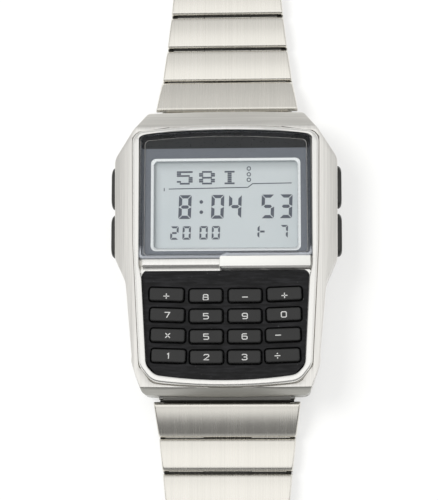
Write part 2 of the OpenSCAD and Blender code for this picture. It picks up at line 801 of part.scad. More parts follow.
// Cross-section along the bracelet, crowned on top
function link_section(length, near_top, near_bottom) =
    let (shoulder = top - link_crown, far_top = length - link_gap / 2, steps = 8)
    concat(
        [[near_bottom, bottom], [length - under_gap / 2, bottom], [far_top, shoulder]],
        [for (i = [1:steps - 1])
            let (t = i / steps)
            [far_top + (near_top - far_top) * t, shoulder + link_crown * sin(180 * t)]],
        [[near_top, shoulder]]
    );
module link_slab(s, length, near_top, near_bottom) {
    near = band_half(s);
    away = band_half(s + length);
    intersection() {
        prism([[-near, 0], [near, 0], [away, length], [-away, length]], bottom, top);
        side_prism(link_section(length, near_top, near_bottom), -far, far);
    }
}
module outer_barrels(length) {
    both_sides() {
        bar(length, 0, barrel_half + side_play, knuckle_half, barrel_radius);
        block(barrel_half + side_play, knuckle_half, length - 1.2, length, -barrel_radius, 0);
    }
}
module middle_barrel() {
    bar(0, 0, -barrel_half, barrel_half, barrel_radius);
    block(-barrel_half, barrel_half, 0, 1.2, -barrel_radius, 0);
}
module far_pocket(length) {
    bar(length, 0, -barrel_half - side_play, barrel_half + side_play, pocket_radius);
}
module near_pockets() {
    both_sides() bar(0, 0, barrel_half, knuckle_half + side_play, pocket_radius);
}
module link_pin(length) {
    bar(length, 0, -knuckle_half, knuckle_half, pin_radius);
}
module plain_link(s) {
    color(steel) difference() {
        union() {
            difference() {
                link_slab(s, link_pitch, link_gap / 2, under_gap / 2);
                near_pockets();
                far_pocket(link_pitch);
            }
            middle_barrel();
            outer_barrels(link_pitch);
        }
        bar(0, 0, -far, far, pin_radius + running_fit);
        bar(link_pitch, 0, -far, far, pin_radius + hold_fit);
    }
    color("gray") link_pin(link_pitch);
}
// The first link hangs on the case's spring bar, and its wings pass below the lugs' ends
module end_link() {
    wing = recess_half - 0.15;
    color(steel) difference() {
        union() {
            difference() {
                link_slab(0, first_pitch, plate_start, plate_start + 0.1);
                far_pocket(first_pitch);
                both_sides() side_prism(
                    [[0, bottom - 1], [plate_start + 2, bottom - 1], [plate_start + 2, bottom],
                     [plate_start, 0.7], [0, 0.7]],
                    wing, far);
            }
            bar(0, 0, -end_barrel_half, end_barrel_half, bar_barrel_radius);
            block(-end_barrel_half, end_barrel_half, 0, plate_start + 0.5, bottom + 0.05, 0.3);
            outer_barrels(first_pitch);
        }
        bar(0, 0, -far, far, bar_diameter / 2 + running_fit);
        bar(first_pitch, 0, -far, far, pin_radius + hold_fit);
    }
    color("gray") link_pin(first_pitch);
}
// Puts a piece of the 12 o'clock side at its hinge; index 1 is the hinge on the case
module at_hinge(index) {
    if (index == 1)
        translate([0, hinge_y, hinge_z]) rotate([-first_slope, 0, 0]) children();
    else
        translate([0, next_hinge_y + (index - 2) * link_pitch, axis_height]) children();
}
module link(index) {
    at_hinge(index)
        if (index == 1)
            end_link();
        else
            plain_link(first_pitch + (index - 2) * link_pitch);
}

// Clasp, in the frame of its own hinge
plate_y = pocket_radius + 0.1;
module hinge_neck() {
    neck_end = plate_y + 0.2;
    bar(0, 0, -barrel_half, barrel_half, barrel_radius);
    side_prism(
        [
            [0, -barrel_radius * 0.65], [barrel_radius * 0.7, -barrel_radius * 0.7],
            [neck_end - 0.2, bottom + 0.15], [neck_end, bottom], [neck_end, bottom + clasp_plate],
            [barrel_radius, 0], [0, barrel_radius * 0.6]
        ],
        -barrel_half, barrel_half);
}
module clasp_frame() {
    hook_y = clasp_length - 6;
    color(steel) at_hinge(upper_links + 1) difference() {
        union() {
            hinge_neck();
            block(-rail_half, rail_half, plate_y, clasp_length, bottom, bottom + clasp_plate);
            both_sides() {
                block(rail_half - rail_thickness, rail_half, cover_axis_y, clasp_length - 0.5, bottom, rail_top);
                bar(cover_axis_y, cover_axis_z, rail_half - rail_thickness, rail_half, ear_radius);
            }
            block(-4.5, 4.5, hook_y, hook_y + 1, bottom, bottom + clasp_plate + 0.7);
            block(-rail_half + 1.5, rail_half - 1.5, clasp_length - 0.7, clasp_length, bottom, 0);
        }
        both_sides() difference() {
            block(0, far, plate_y, cover_axis_y, bottom + clasp_plate, far);
            bar(cover_axis_y, cover_axis_z, 0, far, ear_radius);
        }
        both_sides() difference() {
            block(rail_half - rail_thickness - 0.1, far, cover_axis_y - 1, cover_axis_y + ear_radius, rail_top - 0.3, far);
            bar(cover_axis_y, cover_axis_z, 0, far, ear_radius);
        }
        for (y = [9:2:hook_y - 3]) block(-3, 3, y, y + 0.8, bottom - 1, bottom + clasp_plate + 0.1);
        bar(0, 0, -far, far, pin_radius + running_fit);
        bar(cover_axis_y, cover_axis_z, -far, far, pin_radius + running_fit);
    }
}
module clasp_cover() {
    cover_end = clasp_length + 0.6;
    at_hinge(upper_links + 1) {
        color(steel) difference() {
            union() {
                block(-cover_half, cover_half, cover_axis_y, cover_end, cover_top - cover_thickness, cover_top);
                block(-cover_half, cover_half, clasp_length + 0.2, cover_end, -0.3, cover_top);
                both_sides() {
                    block(cover_half - cover_wall, cover_half, cover_axis_y, cover_end, -0.45, cover_top);
                    bar(cover_axis_y, cover_axis_z, cover_half - cover_wall, cover_half, ear_radius);
                }
            }
            bar(cover_axis_y, cover_axis_z, -far, far, pin_radius + hold_fit);
        }
        color("gray") bar(cover_axis_y, cover_axis_z, -cover_half, cover_half, pin_radius);
    }
}
module clasp_tongue() {
    half = clasp_band_width / 2 - 2.5;
    color(steel) mirror([0, 1, 0]) at_hinge(lower_links + 1) difference() {
        union() {
            hinge_neck();
            block(-half, half, plate_y, tongue_length, bottom, bottom + clasp_plate);
            block(-half, half, tongue_length - 0.6, tongue_length, bottom, bottom + clasp_plate + 0.4);
        }
        block(
            -tongue_window.x / 2, tongue_window.x / 2,
            tongue_length - window_margin - tongue_window.y, tongue_length - window_margin,
            bottom - 1, 0);
        bar(0, 0, -far, far, pin_radius + running_fit);
    }
}

case_body();
bezel_rim();
crystal();
crystal_gasket();
dial_mask();
lcd_frame();
lcd_panel();
lcd_reflector();
lcd_connectors();
keypad_plate();
key_membrane();
circuit_board();
module_frame();
battery();
battery_clip();
buzzer_element();
case_back_gasket();
case_back();
case_back_screws();
case_spring_bars();
pusher_springs();
pusher_seals();
pusher(-1, pusher_rows[1]);  // pusher_upper_left
pusher(-1, pusher_rows[0]);  // pusher_lower_left
pusher(1, pusher_rows[1]);  // pusher_upper_right
pusher(1, pusher_rows[0]);  // pusher_lower_right
for (row = [1:4], column = [1:4])
    key(row, column);
for (k = [1:upper_links])
    link(k);
for (k = [1:lower_links])
    mirror([0, 1, 0]) link(k);
clasp_frame();
clasp_cover();
clasp_tongue();
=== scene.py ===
import math

import bmesh
import bpy
from mathutils import Matrix, Vector


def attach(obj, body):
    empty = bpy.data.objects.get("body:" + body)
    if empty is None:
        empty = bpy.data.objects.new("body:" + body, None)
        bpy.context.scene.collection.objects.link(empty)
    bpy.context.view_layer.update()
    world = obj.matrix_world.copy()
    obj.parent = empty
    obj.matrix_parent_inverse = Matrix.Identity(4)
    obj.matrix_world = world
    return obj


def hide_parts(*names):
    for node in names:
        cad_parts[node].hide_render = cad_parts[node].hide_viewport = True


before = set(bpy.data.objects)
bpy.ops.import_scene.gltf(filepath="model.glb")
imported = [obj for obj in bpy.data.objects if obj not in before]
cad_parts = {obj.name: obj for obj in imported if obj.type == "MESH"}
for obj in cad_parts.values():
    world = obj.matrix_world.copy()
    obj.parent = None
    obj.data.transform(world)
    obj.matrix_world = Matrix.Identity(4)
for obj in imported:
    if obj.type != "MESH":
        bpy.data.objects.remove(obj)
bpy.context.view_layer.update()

# Calculator watch on a steel bracelet. Sizes are in millimetres and go into the meshes in metres.
MM = 0.001
UP = Vector((0, 0, 1))

# ---------------- sizes that the case, links and keys share
RIM_FOOT, RIM_TOP = 9.0, 10.5
GLASS_FOOT, GLASS_TOP = 9.1, 10.35
LCD_TOP = 8.35
PLATE_TOP, KEY_TOP = 9.7, 10.3
KEY_SIZE = (5.45, 2.14)
PUSHER_Z, PUSHER_ROWS = 5.6, (11.45, 3.15)
LINK_PITCH, FIRST_PITCH, FIRST_SLOPE = 6.0, 7.5, math.radians(20)
PLATE_START = 1.2
LINK_Z, HINGE_Y = 1.15, 23.9
HINGE_Z = LINK_Z + FIRST_PITCH * math.sin(FIRST_SLOPE)
NEXT_HINGE_Y = HINGE_Y + FIRST_PITCH * math.cos(FIRST_SLOPE)
REFERENCE_HALF = 10.0


# ---------------- node trees
class Value:
    """One number of a node tree. Python's operators on it add Math nodes."""

    def __init__(self, tree, socket):
        self.tree, self.socket = tree, socket

    def math(self, operation, *others):
        return self.tree.math(operation, self, *others)

    def __add__(self, other):
        return self.math("ADD", other)

    __radd__ = __add__

    def __mul__(self, other):
        return self.math("MULTIPLY", other)

    __rmul__ = __mul__

    def __sub__(self, other):
        return self.math("SUBTRACT", other)

    def __rsub__(self, other):
        return self.tree.math("SUBTRACT", other, self)

    def __truediv__(self, other):
        return self.math("DIVIDE", other)

    def __gt__(self, other):
        return self.math("GREATER_THAN", other)

    def __lt__(self, other):
        return self.math("LESS_THAN", other)

    def __neg__(self):
        return self * -1

    def __abs__(self):
        return self.math("ABSOLUTE")


class Tree:
    """A node tree under construction."""

    def __init__(self, tree):
        self.tree = tree
        tree.nodes.clear()

    def node(self, kind, settings=None, inputs=None, out=0):
        made = self.tree.nodes.new(kind)
        for name, value in (settings or {}).items():
            if name == "stops":
                ends = made.color_ramp.elements
                for (place, shade), stop in zip((value[0], value[-1]), (ends[0], ends[-1])):
                    stop.position, stop.color = place, shade
                for place, shade in value[1:-1]:
                    ends.new(place).color = shade
            else:
                setattr(made, name, value)
        for key, value in (inputs or {}).items():
            if isinstance(value, Value):
                self.tree.links.new(value.socket, made.inputs[key])
            else:
                made.inputs[key].default_value = value
        return Value(self, made.outputs[out]) if made.outputs else None

    def math(self, operation, *values):
        return self.node("ShaderNodeMath", {"operation": operation}, dict(enumerate(values)))

    def split(self, vector):
        first = self.node("ShaderNodeSeparateXYZ", inputs={0: vector})
        return [Value(self, socket) for socket in first.socket.node.outputs]

    def join(self, x, y, z):
        return self.node("ShaderNodeCombineXYZ", inputs={0: x, 1: y, 2: z})

    def blend(self, share, first, second):
        """Colour that goes from first to second as share goes from 0 to 1."""
        return self.node(
            "ShaderNodeMix", {"data_type": "RGBA"}, {0: share, 6: first, 7: second}, out=2)

    def ramp(self, value, start, end):
        """0 below start, 1 above end, smooth in between."""
        return self.node(
            "ShaderNodeMapRange", {"interpolation_type": "SMOOTHSTEP"},
            {0: value, 1: start, 2: end})


def rgb(red, green, blue):
    """Linear colour from the screen values 0 to 255."""
    def linear(level):
        level /= 255
        return level / 12.92 if level <= 0.04045 else ((level + 0.055) / 1.055) ** 2.4
    return (linear(red), linear(green), linear(blue), 1.0)


def shades(colour, contrast):
    """A darker and a lighter tone of a colour."""
    return [tuple(min(1.0, level * share) for level in colour[:3]) + (1.0,)
            for share in (1 - contrast, 1 + contrast)]


class Finish(Tree):
    """A surface finish. Patterns are placed in millimetres on the object."""

    def __init__(self, name):
        self.material = bpy.data.materials.new(name)
        self.material.use_nodes = True
        super().__init__(self.material.node_tree)

    def place(self):
        """Object coordinates in millimetres, as x, y and z."""
        point = self.node("ShaderNodeTexCoord", out="Object")
        scaled = self.node(
            "ShaderNodeVectorMath", {"operation": "SCALE"}, {0: point, "Scale": 1 / MM})
        return self.split(scaled)

    def noise(self, place, stretch, detail=3.0, roughness=0.5):
        """Noise from 0 to 1, whose grain has about 1 / stretch millimetres along each axis."""
        point = self.join(*(axis * s for axis, s in zip(place, stretch)))
        return self.node(
            "ShaderNodeTexNoise", {"noise_dimensions": "3D"},
            {"Vector": point, "Scale": 1.0, "Detail": detail, "Roughness": roughness})

    def bump(self, height, depth, strength=1.0):
        return self.node("ShaderNodeBump", inputs={
            "Height": height, "Distance": depth * MM, "Strength": strength})

    def surface(self, **inputs):
        names = {key.replace("_", " ").title().replace("Ior", "IOR"): value
                 for key, value in inputs.items()}
        shader = self.node("ShaderNodeBsdfPrincipled", inputs=names)
        self.node("ShaderNodeOutputMaterial", inputs={"Surface": shader})
        return self.material


def speckled(name, colour, rough, metallic=0.0, grain=1.5, contrast=0.12, depth=0.004, ior=1.5):
    """Moulded or painted surface with fine grain."""
    finish = Finish(name)
    place = finish.place()
    cloud = finish.noise(place, (0.25,) * 3, 2.0)
    fine = finish.noise(place, (grain * 4,) * 3, 4.0, 0.65)
    mixed = cloud * 0.5 + fine * 0.5
    return finish.surface(
        base_color=finish.blend(mixed, *shades(colour, contrast)), metallic=metallic,
        roughness=mixed * 0.12 + (rough - 0.06), ior=ior, normal=finish.bump(fine, depth))


def brushed(name, colour, rough=0.3, axis="y", contrast=0.1, depth=0.006, grain=5.0, shade=None,
            rise=1.0):
    """Brushed metal with lines along an axis. shade(finish, place, colour) may paint shade on it by
    place.
    """
    finish = Finish(name)
    place = finish.place()
    along, across = 0.035, grain
    stretch = {"x": (along, across, across), "y": (across, along, across * rise)}[axis]
    fine = finish.noise(place, stretch, 4.0, 0.7)
    wide = finish.noise(place, tuple(s * 0.22 for s in stretch), 2.0)
    lines = fine * 0.7 + wide * 0.3
    tone = finish.blend(finish.ramp(lines, 0.3, 0.7), *shades(colour, contrast))
    if shade:
        tone = shade(finish, place, tone)
    return finish.surface(
        base_color=tone, metallic=1.0, roughness=lines * 0.16 + (rough - 0.08),
        normal=finish.bump(lines, depth))


# ---------------- outlines, as [x, y, corner radius]
def turns(sides):
    """Angles of a circle's points."""
    return [2 * math.pi * i / sides for i in range(sides)]


def rounded(points, steps=5):
    """Closed outline with each corner turned into an arc of its radius."""
    made = []
    for i, (x, y, radius) in enumerate(points):
        at = Vector((x, y))
        if radius <= 0:
            made.append(at)
            continue
        before = (Vector(points[i - 1][:2]) - at).normalized()
        after = (Vector(points[(i + 1) % len(points)][:2]) - at).normalized()
        half = before.angle(after) / 2
        centre = at + (before + after).normalized() * (radius / math.sin(half))
        first = at + before * (radius / math.tan(half)) - centre
        last = at + after * (radius / math.tan(half)) - centre
        turn = first.angle_signed(last)
        for k in range(steps + 1):
            made.append(centre + Matrix.Rotation(-turn * k / steps, 2) @ first)
    return [(p.x, p.y) for p in made]


def bow(x, y, rise, steps=10):
    """Shallow arch from x to -x, without its ends."""
    spots = [1 - 2 * i / steps for i in range(1, steps)]
    return [(x * t, y + rise * (1 - t * t), 0) for t in spots]


def outline(side, top_rise=0, foot_rise=0, steps=5):
    """Closed outline from its right side, listed from top to bottom."""
    foot, top = side[-1], side[0]
    points = list(side)
    points += bow(foot[0], foot[1], -foot_rise) if foot_rise else []
    points += [(-x, y, r) for x, y, r in reversed(side)]
    points += bow(-top[0], top[1], top_rise) if top_rise else []
    return rounded(points, steps)


def rim_side(d):
    """The rim's outer line."""
    return [
        (15.95 - d, 20.5 - d, 1.9), (15.75 - d, 1.5, 8),
        (14.6 - d, -19.4 + d / 2, 3.0), (12.4 - d / 2, -22.2 + d, 3.0)]


def opening_side(d):
    """The rim's opening, round the crystal, the strip and the keypad plate."""
    return [
        (14.65 - d, 19.98 - d, 0.8), (14.62 - d, -2.3, 3), (14.12 - d, -4.6, 3),
        (13.3 - d, -19.3 + d / 2, 2.4), (11.8 - d / 2, -20.9 + d, 2.4)]


def glass_outline(d):
    """The crystal's outline, with a step in its lower edge."""
    return rounded([
        (14.55 - d, 19.98 - d, 0.8), (14.65 - d, -0.89 + d, 0.5), (0.2, -0.89 + d, 0.2),
        (-0.9, -1.33 + d, 0.2), (-14.65 + d, -1.33 + d, 0.5), (-14.55 + d, 19.98 - d, 0.8)
    ] + bow(-14.55 + d, 19.98 - d, 0.7))


def box_outline(half_x, half_y, radius, centre=(0, 0), steps=4):
    corners = [(half_x, half_y), (half_x, -half_y), (-half_x, -half_y), (-half_x, half_y)]
    return rounded([(x + centre[0], y + centre[1], radius) for x, y in corners], steps)


# ---------------- meshes
class Edited:
    """A mesh as bmesh, written back when the with block ends."""

    def __init__(self, mesh):
        self.mesh, self.work = mesh, bmesh.new()
        self.work.from_mesh(mesh)

    def __enter__(self):
        return self.work

    def __exit__(self, *error):
        self.work.to_mesh(self.mesh)
        self.work.free()


def new_object(name, data):
    made = bpy.data.objects.new(name, data)
    bpy.context.scene.collection.objects.link(made)
    return made


def mesh_from(name, points, faces, marks=None):
    """Mesh of points in millimetres."""
    mesh = bpy.data.meshes.new(name)
    mesh.from_pydata([Vector(p) * MM for p in points], [], faces)
    if marks:
        mesh.polygons.foreach_set("material_index", marks)
    return mesh


def tidy(mesh, crease=32, outwards=True):
    """Merges doubles, turns the faces outwards and smooths all but sharp edges."""
    with Edited(mesh) as work:
        bmesh.ops.remove_doubles(work, verts=work.verts, dist=1e-7)
        if outwards:
            bmesh.ops.recalc_face_normals(work, faces=work.faces)
    mesh.shade_smooth()
    mesh.set_sharp_from_angle(angle=math.radians(crease))
    return mesh


def placed(name, mesh, finishes, body, slot, *nodes):
    """Makes a piece of a finished mesh, on a body, in place of CAD nodes. The slot is not used."""
    mesh.name = name
    piece = new_object(name, mesh)
    for finish in finishes:
        mesh.materials.append(finish)
    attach(piece, body)
    if nodes:
        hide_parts(*nodes)
    return piece


def loft(rings, marks=None, cap=(True, True)):
    """Points and faces of a skin over closed rings with as many points each."""
    points = [p for ring in rings for p in ring]
    n = len(rings[0])
    faces, kinds = [], []
    for i in range(len(rings) - 1):
        for j in range(n):
            k = (j + 1) % n
            faces.append((i * n + j, i * n + k, (i + 1) * n + k, (i + 1) * n + j))
            kinds.append(marks[i] if marks else 0)
    if cap[0]:
        faces.append(tuple(range(n)))
        kinds.append(0)
    if cap[1]:
        faces.append(tuple((len(rings) - 1) * n + j for j in range(n)))
        kinds.append(0)
    return points, faces, kinds


def at_height(points, z):
    return [(x, y, z) for x, y in points]


def lofted(name, rings, marks=None, crease=32):
    points, faces, kinds = loft(rings, marks)
    return tidy(mesh_from(name, points, faces, kinds), crease)


def flat_shapes(name, shapes, z, thickness):
    """Thin printed shapes, each a polygon of (x, y)."""
    points, faces = [], []
    for shape in shapes:
        faces.append(tuple(range(len(points), len(points) + len(shape))))
        points += [(x, y, z) for x, y in shape]
    mesh = mesh_from(name, points, faces)
    with Edited(mesh) as work:
        bmesh.ops.remove_doubles(work, verts=work.verts, dist=1e-8)
        for face in work.faces:
            face.normal_update()
            if face.normal.z < 0:
                face.normal_flip()
        bmesh.ops.solidify(work, geom=list(work.faces), thickness=thickness * MM)
        bmesh.ops.recalc_face_normals(work, faces=work.faces)
    return mesh


def ribbon(points, width, closed=False):
    """Quads of a stroke of even width along a line."""
    line = [Vector(p) for p in points]
    count = len(line)
    sides = []
    for i, at in enumerate(line):
        before = line[i - 1] if i or closed else None
        after = line[(i + 1) % count] if i < count - 1 or closed else None
        into = (at - before).normalized() if before is not None else (after - at).normalized()
        away = (after - at).normalized() if after is not None else into
        normal = Vector((-(into + away).y, (into + away).x)).normalized()
        reach = width / 2 / max(0.5, normal.dot(Vector((-into.y, into.x))))
        sides.append((at + normal * reach, at - normal * reach))
    pairs = range(count if closed else count - 1)
    return [[tuple(sides[i][0]), tuple(sides[(i + 1) % count][0]),
             tuple(sides[(i + 1) % count][1]), tuple(sides[i][1])] for i in pairs]


def evaluated(piece):
    """Plain mesh of an object with its modifiers applied."""
    graph = bpy.context.evaluated_depsgraph_get()
    return bpy.data.meshes.new_from_object(piece.evaluated_get(graph))


def combine(mesh, steps):
    """Adds or cuts other meshes, each step as (operation, mesh)."""
    for operation, other in steps:
        base, tool = new_object("base", mesh), new_object("tool", other)
        cut = base.modifiers.new("cut", "BOOLEAN")
        cut.operation, cut.object, cut.solver = operation, tool, "EXACT"
        mesh = evaluated(base)
        bpy.data.objects.remove(base)
        bpy.data.objects.remove(tool)
    return mesh


def bar(y, z, x0, x1, radius, sides=24):
    """Round bar along X."""
    return lofted("bar", [
        [(x, y + radius * math.cos(a), z + radius * math.sin(a)) for a in turns(sides)]
        for x in (x0, x1)])


def block(x0, x1, y0, y1, z0, z1):
    return lofted("block", [[(x, y0, z0), (x, y1, z0), (x, y1, z1), (x, y0, z1)] for x in (x0, x1)])


def eased_copy(node, width, angle=28, keep=lambda middle: True, segments=2):
    """Copy of a CAD node's mesh with its sharp edges eased, where keep(middle in mm) says so."""
    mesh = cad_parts[node].data.copy()
    mesh.materials.clear()
    with Edited(mesh) as work:
        bmesh.ops.remove_doubles(work, verts=work.verts, dist=2e-6)
        bmesh.ops.dissolve_limit(
            work, angle_limit=math.radians(0.6), verts=work.verts, edges=work.edges)
        weight = work.edges.layers.float.new("bevel_weight_edge")
        for edge in work.edges:
            if len(edge.link_faces) == 2 and edge.calc_face_angle(0) > math.radians(angle):
                middle = (edge.verts[0].co + edge.verts[1].co) / 2 / MM
                edge[weight] = 1.0 if keep(middle) else 0.0
    base = new_object("base", mesh)
    ease = base.modifiers.new("ease", "BEVEL")
    ease.limit_method, ease.width, ease.segments = "WEIGHT", width * MM, segments
    ease.use_clamp_overlap = False
    mesh = evaluated(base)
    bpy.data.objects.remove(base)
    return tidy(mesh, 38, outwards=False)


# ---------------- finishes
STEEL = rgb(233, 231, 227)


def flank_painted_shade(finish, place, tone):
    """Painted shade: the flanks darken a little towards the case's outer line."""
    outer = finish.ramp(abs(place[0]), 15.5, 19.0)
    return finish.blend(outer * 0.15, tone, rgb(176, 175, 170))


case_steel = brushed("case steel", STEEL, 0.34, "y", shade=flank_painted_shade)
hood_steel = brushed("hood steel", rgb(225, 223, 218), 0.36, "x")
# The tail's slope: case steel darkened as painted shade
tail_painted_shade_steel = brushed("tail steel", rgb(168, 167, 162), 0.3, "x")
link_steel = brushed(
    "link steel", rgb(231, 228, 221), 0.26, "y", contrast=0.045, depth=0.004, grain=6.0, rise=0.05)
clasp_steel = brushed("clasp steel", rgb(222, 220, 215), 0.33, "y")
back_steel = brushed("back steel", rgb(214, 213, 209), 0.35, "x")
rim_steel = brushed("polished rim", rgb(238, 237, 234), 0.24, "y", 0.03, 0.001, 3.0)
bright_steel = brushed("bright frame", rgb(222, 226, 228), 0.22, "x", 0.03, 0.001, 3.0)
wire_steel = speckled("spring wire", rgb(190, 190, 188), 0.25, 1.0)
screw_steel = brushed("screw steel", rgb(200, 200, 198), 0.28, "x", 0.08)

plaque_white = speckled("plaque lacquer", rgb(233, 233, 229), 0.4, 0.0, 1.2, 0.03, 0.002)
pusher_black = speckled("pusher black", rgb(40, 40, 38), 0.32, 0.0, 1.5, 0.2, 0.003)
# Near black for the key openings' walls: painted shade round the keys
pocket_painted_shade = speckled("pocket walls", rgb(12, 12, 13), 0.6, 0.0, 2.0, 0.2, 0.002, 1.2)
key_black = speckled("key plastic", rgb(46, 46, 46), 0.5, 0.0, 2.6, 0.3, 0.009, 1.35)
key_paint = speckled("key paint", rgb(204, 204, 202), 0.5, 0.0, 3.0, 0.12, 0.004)
lcd_ink = speckled("display ink", rgb(74, 80, 92), 0.5, 0.0, 2.0, 0.1, 0.001)


def hinge_finish():
    """Painted shade on the steel deep in the bracelet's gaps: dark, but lighter on the bars at the
    case's ends.
    """
    finish = Finish("hinge steel")
    x, y, z = finish.place()
    fine = finish.noise((x, y, z), (1.5, 6, 6), 3.0)
    dark = finish.blend(fine, rgb(46, 45, 43), rgb(66, 65, 62))
    at_case = finish.blend(y > 0, rgb(150, 149, 145), rgb(186, 184, 179))
    away = finish.ramp(abs(y) - (y > 0) * 0.9, HINGE_Y + 0.8, HINGE_Y + 0.92)
    return finish.surface(
        base_color=finish.blend(away, at_case, dark), metallic=1.0, roughness=fine * 0.1 + 0.4)


painted_gap_shade_steel = hinge_finish()


def crystal_finish():
    finish = Finish("crystal")
    gloss = finish.node("ShaderNodeFresnel", inputs={"IOR": 1.5})
    haze = finish.noise(finish.place(), (0.4,) * 3)
    return finish.surface(
        base_color=finish.blend(haze, rgb(240, 243, 246), rgb(250, 250, 250)), metallic=1.0,
        roughness=haze * 0.02 + 0.01, alpha=gloss * 0.42)


def crystal_edge_painted_light_finish():
    """The thick glass edge, with painted shade: dark at the sides, darker at the top; and a painted
    highlight along the lower end.
    """
    finish = Finish("crystal edge")
    x, y, z = finish.place()
    haze = finish.noise((x, y, z), (0.6, 0.6, 0.6), 3.0)
    low = finish.ramp(-y, -1.2, 0.2)
    head = finish.ramp(y, 17.6, 18.2)
    upper = finish.blend(head, rgb(104, 108, 116), rgb(44, 46, 50))
    tone = finish.blend(low, upper, rgb(206, 210, 217))
    return finish.surface(
        base_color=finish.blend(haze * 0.3, tone, rgb(120, 124, 132)),
        roughness=haze * 0.06 + 0.05, alpha=haze * 0.2 + 0.3 + low * 0.35)


def mask_finish():
    """Printed mask: a black band at 12 o'clock over slate."""
    finish = Finish("printed mask")
    x, y, z = finish.place()
    cloud = finish.noise((x, y, z), (0.12, 0.3, 0.3), 2.0)
    slate = finish.blend(finish.ramp(y, -2, 20), rgb(108, 113, 121), rgb(102, 107, 115))
    slate = finish.blend(cloud * 0.35, slate, rgb(120, 124, 131))
    band = finish.blend(cloud * 0.6, rgb(14, 15, 17), rgb(40, 43, 46))
    return finish.surface(
        base_color=finish.blend(finish.ramp(y, 17.7, 17.82), slate, band),
        roughness=cloud * 0.1 + 0.45, ior=1.2)


def gasket_finish():
    """Dark ring under the crystal's edge, with painted shade at its sides and top and a painted
    highlight at its lower end, where the glass shows it lighter.
    """
    finish = Finish("crystal gasket")
    x, y, z = finish.place()
    fine = finish.noise((x, y, z), (4, 4, 4), 3.0)
    slate = finish.blend(finish.ramp(-y, -1.4, 0.3), rgb(104, 109, 117), rgb(158, 163, 171))
    dark = finish.ramp(abs(x), 14.15, 14.35).math("MAXIMUM", finish.ramp(y, 17.7, 17.82))
    tone = finish.blend(fine * 0.3, slate, rgb(88, 92, 100))
    return finish.surface(
        base_color=finish.blend(dark, tone, rgb(30, 31, 34)), roughness=fine * 0.1 + 0.5, ior=1.2)


def display_finish():
    """Display glass, with the frame's shadow painted beside it on the left and at the top."""
    finish = Finish("display")
    x, y, z = finish.place()
    cloud = finish.noise((x, y, z), (0.08, 0.1, 0.1), 2.0)
    fine = finish.noise((x, y, z), (9, 9, 9), 2.0)
    tone = finish.blend(cloud, rgb(190, 199, 203), rgb(201, 207, 208))
    left = finish.ramp(-x, 10.6, 12.4) * 0.5
    head = finish.ramp(y, 13.6, 15.4) * 0.55
    frame_painted_shadow = finish.blend(left.math("MAXIMUM", head), tone, rgb(150, 158, 161))
    return finish.surface(
        base_color=frame_painted_shadow, roughness=fine * 0.08 + 0.3, normal=finish.bump(fine, 0.0008))


def keypad_finish():
    """Glossy black plate with faint streaks and dust."""
    finish = Finish("keypad plate")
    x, y, z = finish.place()
    streaks = finish.noise((x, y, z), (0.35, 2.4, 1.0), 4.0, 0.6)
    fine = finish.noise((x, y, z), (6, 6, 6), 3.0)
    dust = finish.ramp(finish.noise((x, y, z), (3.1, 3.1, 3.1), 1.0), 0.74, 0.79)
    tone = finish.blend(finish.ramp(streaks, 0.35, 0.75), rgb(17, 17, 18), rgb(38, 38, 40))
    return finish.surface(
        base_color=finish.blend(dust * 0.45, tone, rgb(120, 120, 118)),
        roughness=streaks * 0.15 + 0.4, ior=1.28, normal=finish.bump(fine, 0.003))


def board_finish():
    """Green lacquer over copper tracks."""
    finish = Finish("circuit board")
    x, y, z = finish.place()
    tracks = finish.math("SINE", x * 5.2) * finish.math("SINE", y * 3.7)
    cloud = finish.noise((x, y, z), (0.6, 0.6, 0.6))
    tone = finish.blend(finish.ramp(tracks, 0.3, 0.4), rgb(20, 74, 46), rgb(44, 112, 66))
    return finish.surface(
        base_color=finish.blend(cloud * 0.3, tone, rgb(18, 60, 40)),
        roughness=cloud * 0.1 + 0.3, normal=finish.bump(tracks, 0.01, 0.4))


def striped_rubber():
    """Rubber strip with fine conducting stripes."""
    finish = Finish("striped rubber")
    x, y, z = finish.place()
    stripes = finish.ramp(finish.math("SINE", x * 31.4), -0.2, 0.2)
    cloud = finish.noise((x, y, z), (2, 2, 2))
    return finish.surface(
        base_color=finish.blend(stripes, rgb(226, 176, 178), rgb(60, 52, 54)),
        roughness=cloud * 0.1 + 0.5)


crystal_clear, crystal_edge_painted_light = crystal_finish(), crystal_edge_painted_light_finish()
printed_mask = mask_finish()

NODE_FINISHES = {
    "crystal_gasket": gasket_finish(),
    "lcd_panel": display_finish(),
    "lcd_reflector": speckled("reflector film", rgb(232, 234, 230), 0.3, 0.0, 1.0, 0.04),
    "lcd_connectors": striped_rubber(),
    "key_membrane": speckled("key sheet", rgb(120, 122, 124), 0.7, 0.0, 1.5, 0.1, 0.01),
    "circuit_board": board_finish(),
    "module_frame": speckled("module plastic", rgb(208, 202, 186), 0.5, 0.0, 1.2, 0.06, 0.006),
    "battery": brushed("cell steel", rgb(205, 206, 206), 0.25, "x", 0.05, 0.002),
    "battery_clip": brushed("clip steel", rgb(208, 186, 130), 0.3, "x", 0.08, 0.004),
    "buzzer_element": speckled("buzzer brass", rgb(214, 190, 122), 0.35, 0.6, 1.0, 0.08),
    "case_back": back_steel,
    "case_back_gasket": speckled("back gasket", rgb(52, 52, 54), 0.75, 0.0, 2.0, 0.15, 0.01),
    "case_spring_bars": wire_steel,
    "pusher_springs": wire_steel,
    "pusher_seals": speckled("seal rubber", rgb(44, 44, 46), 0.7, 0.0, 2.0, 0.15, 0.008),
}
for node, finish in NODE_FINISHES.items():
    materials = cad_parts[node].data.materials
    materials.clear()
    materials.append(finish)


# ---------------- case
def case_edge(middle):
    """Edges of the case's outside; those of its opening and its inside stay sharp."""
    x, y, z = abs(middle.x), abs(middle.y), middle.z
    return not (x < 14.25 and y < 21.2) and not (x < 13.9 and z < 8.4 and y < 22.0)


FOOT_START, FOOT_FULL, FOOT_GROWTH = -17.0, -19.4, 0.6
FLANK_HALF, FLANK_SLOPE, LUG_HALF = 15.0, 0.714, 12.2
SLOPE_START, SLOPE_NORMAL = 19.5, 0.45


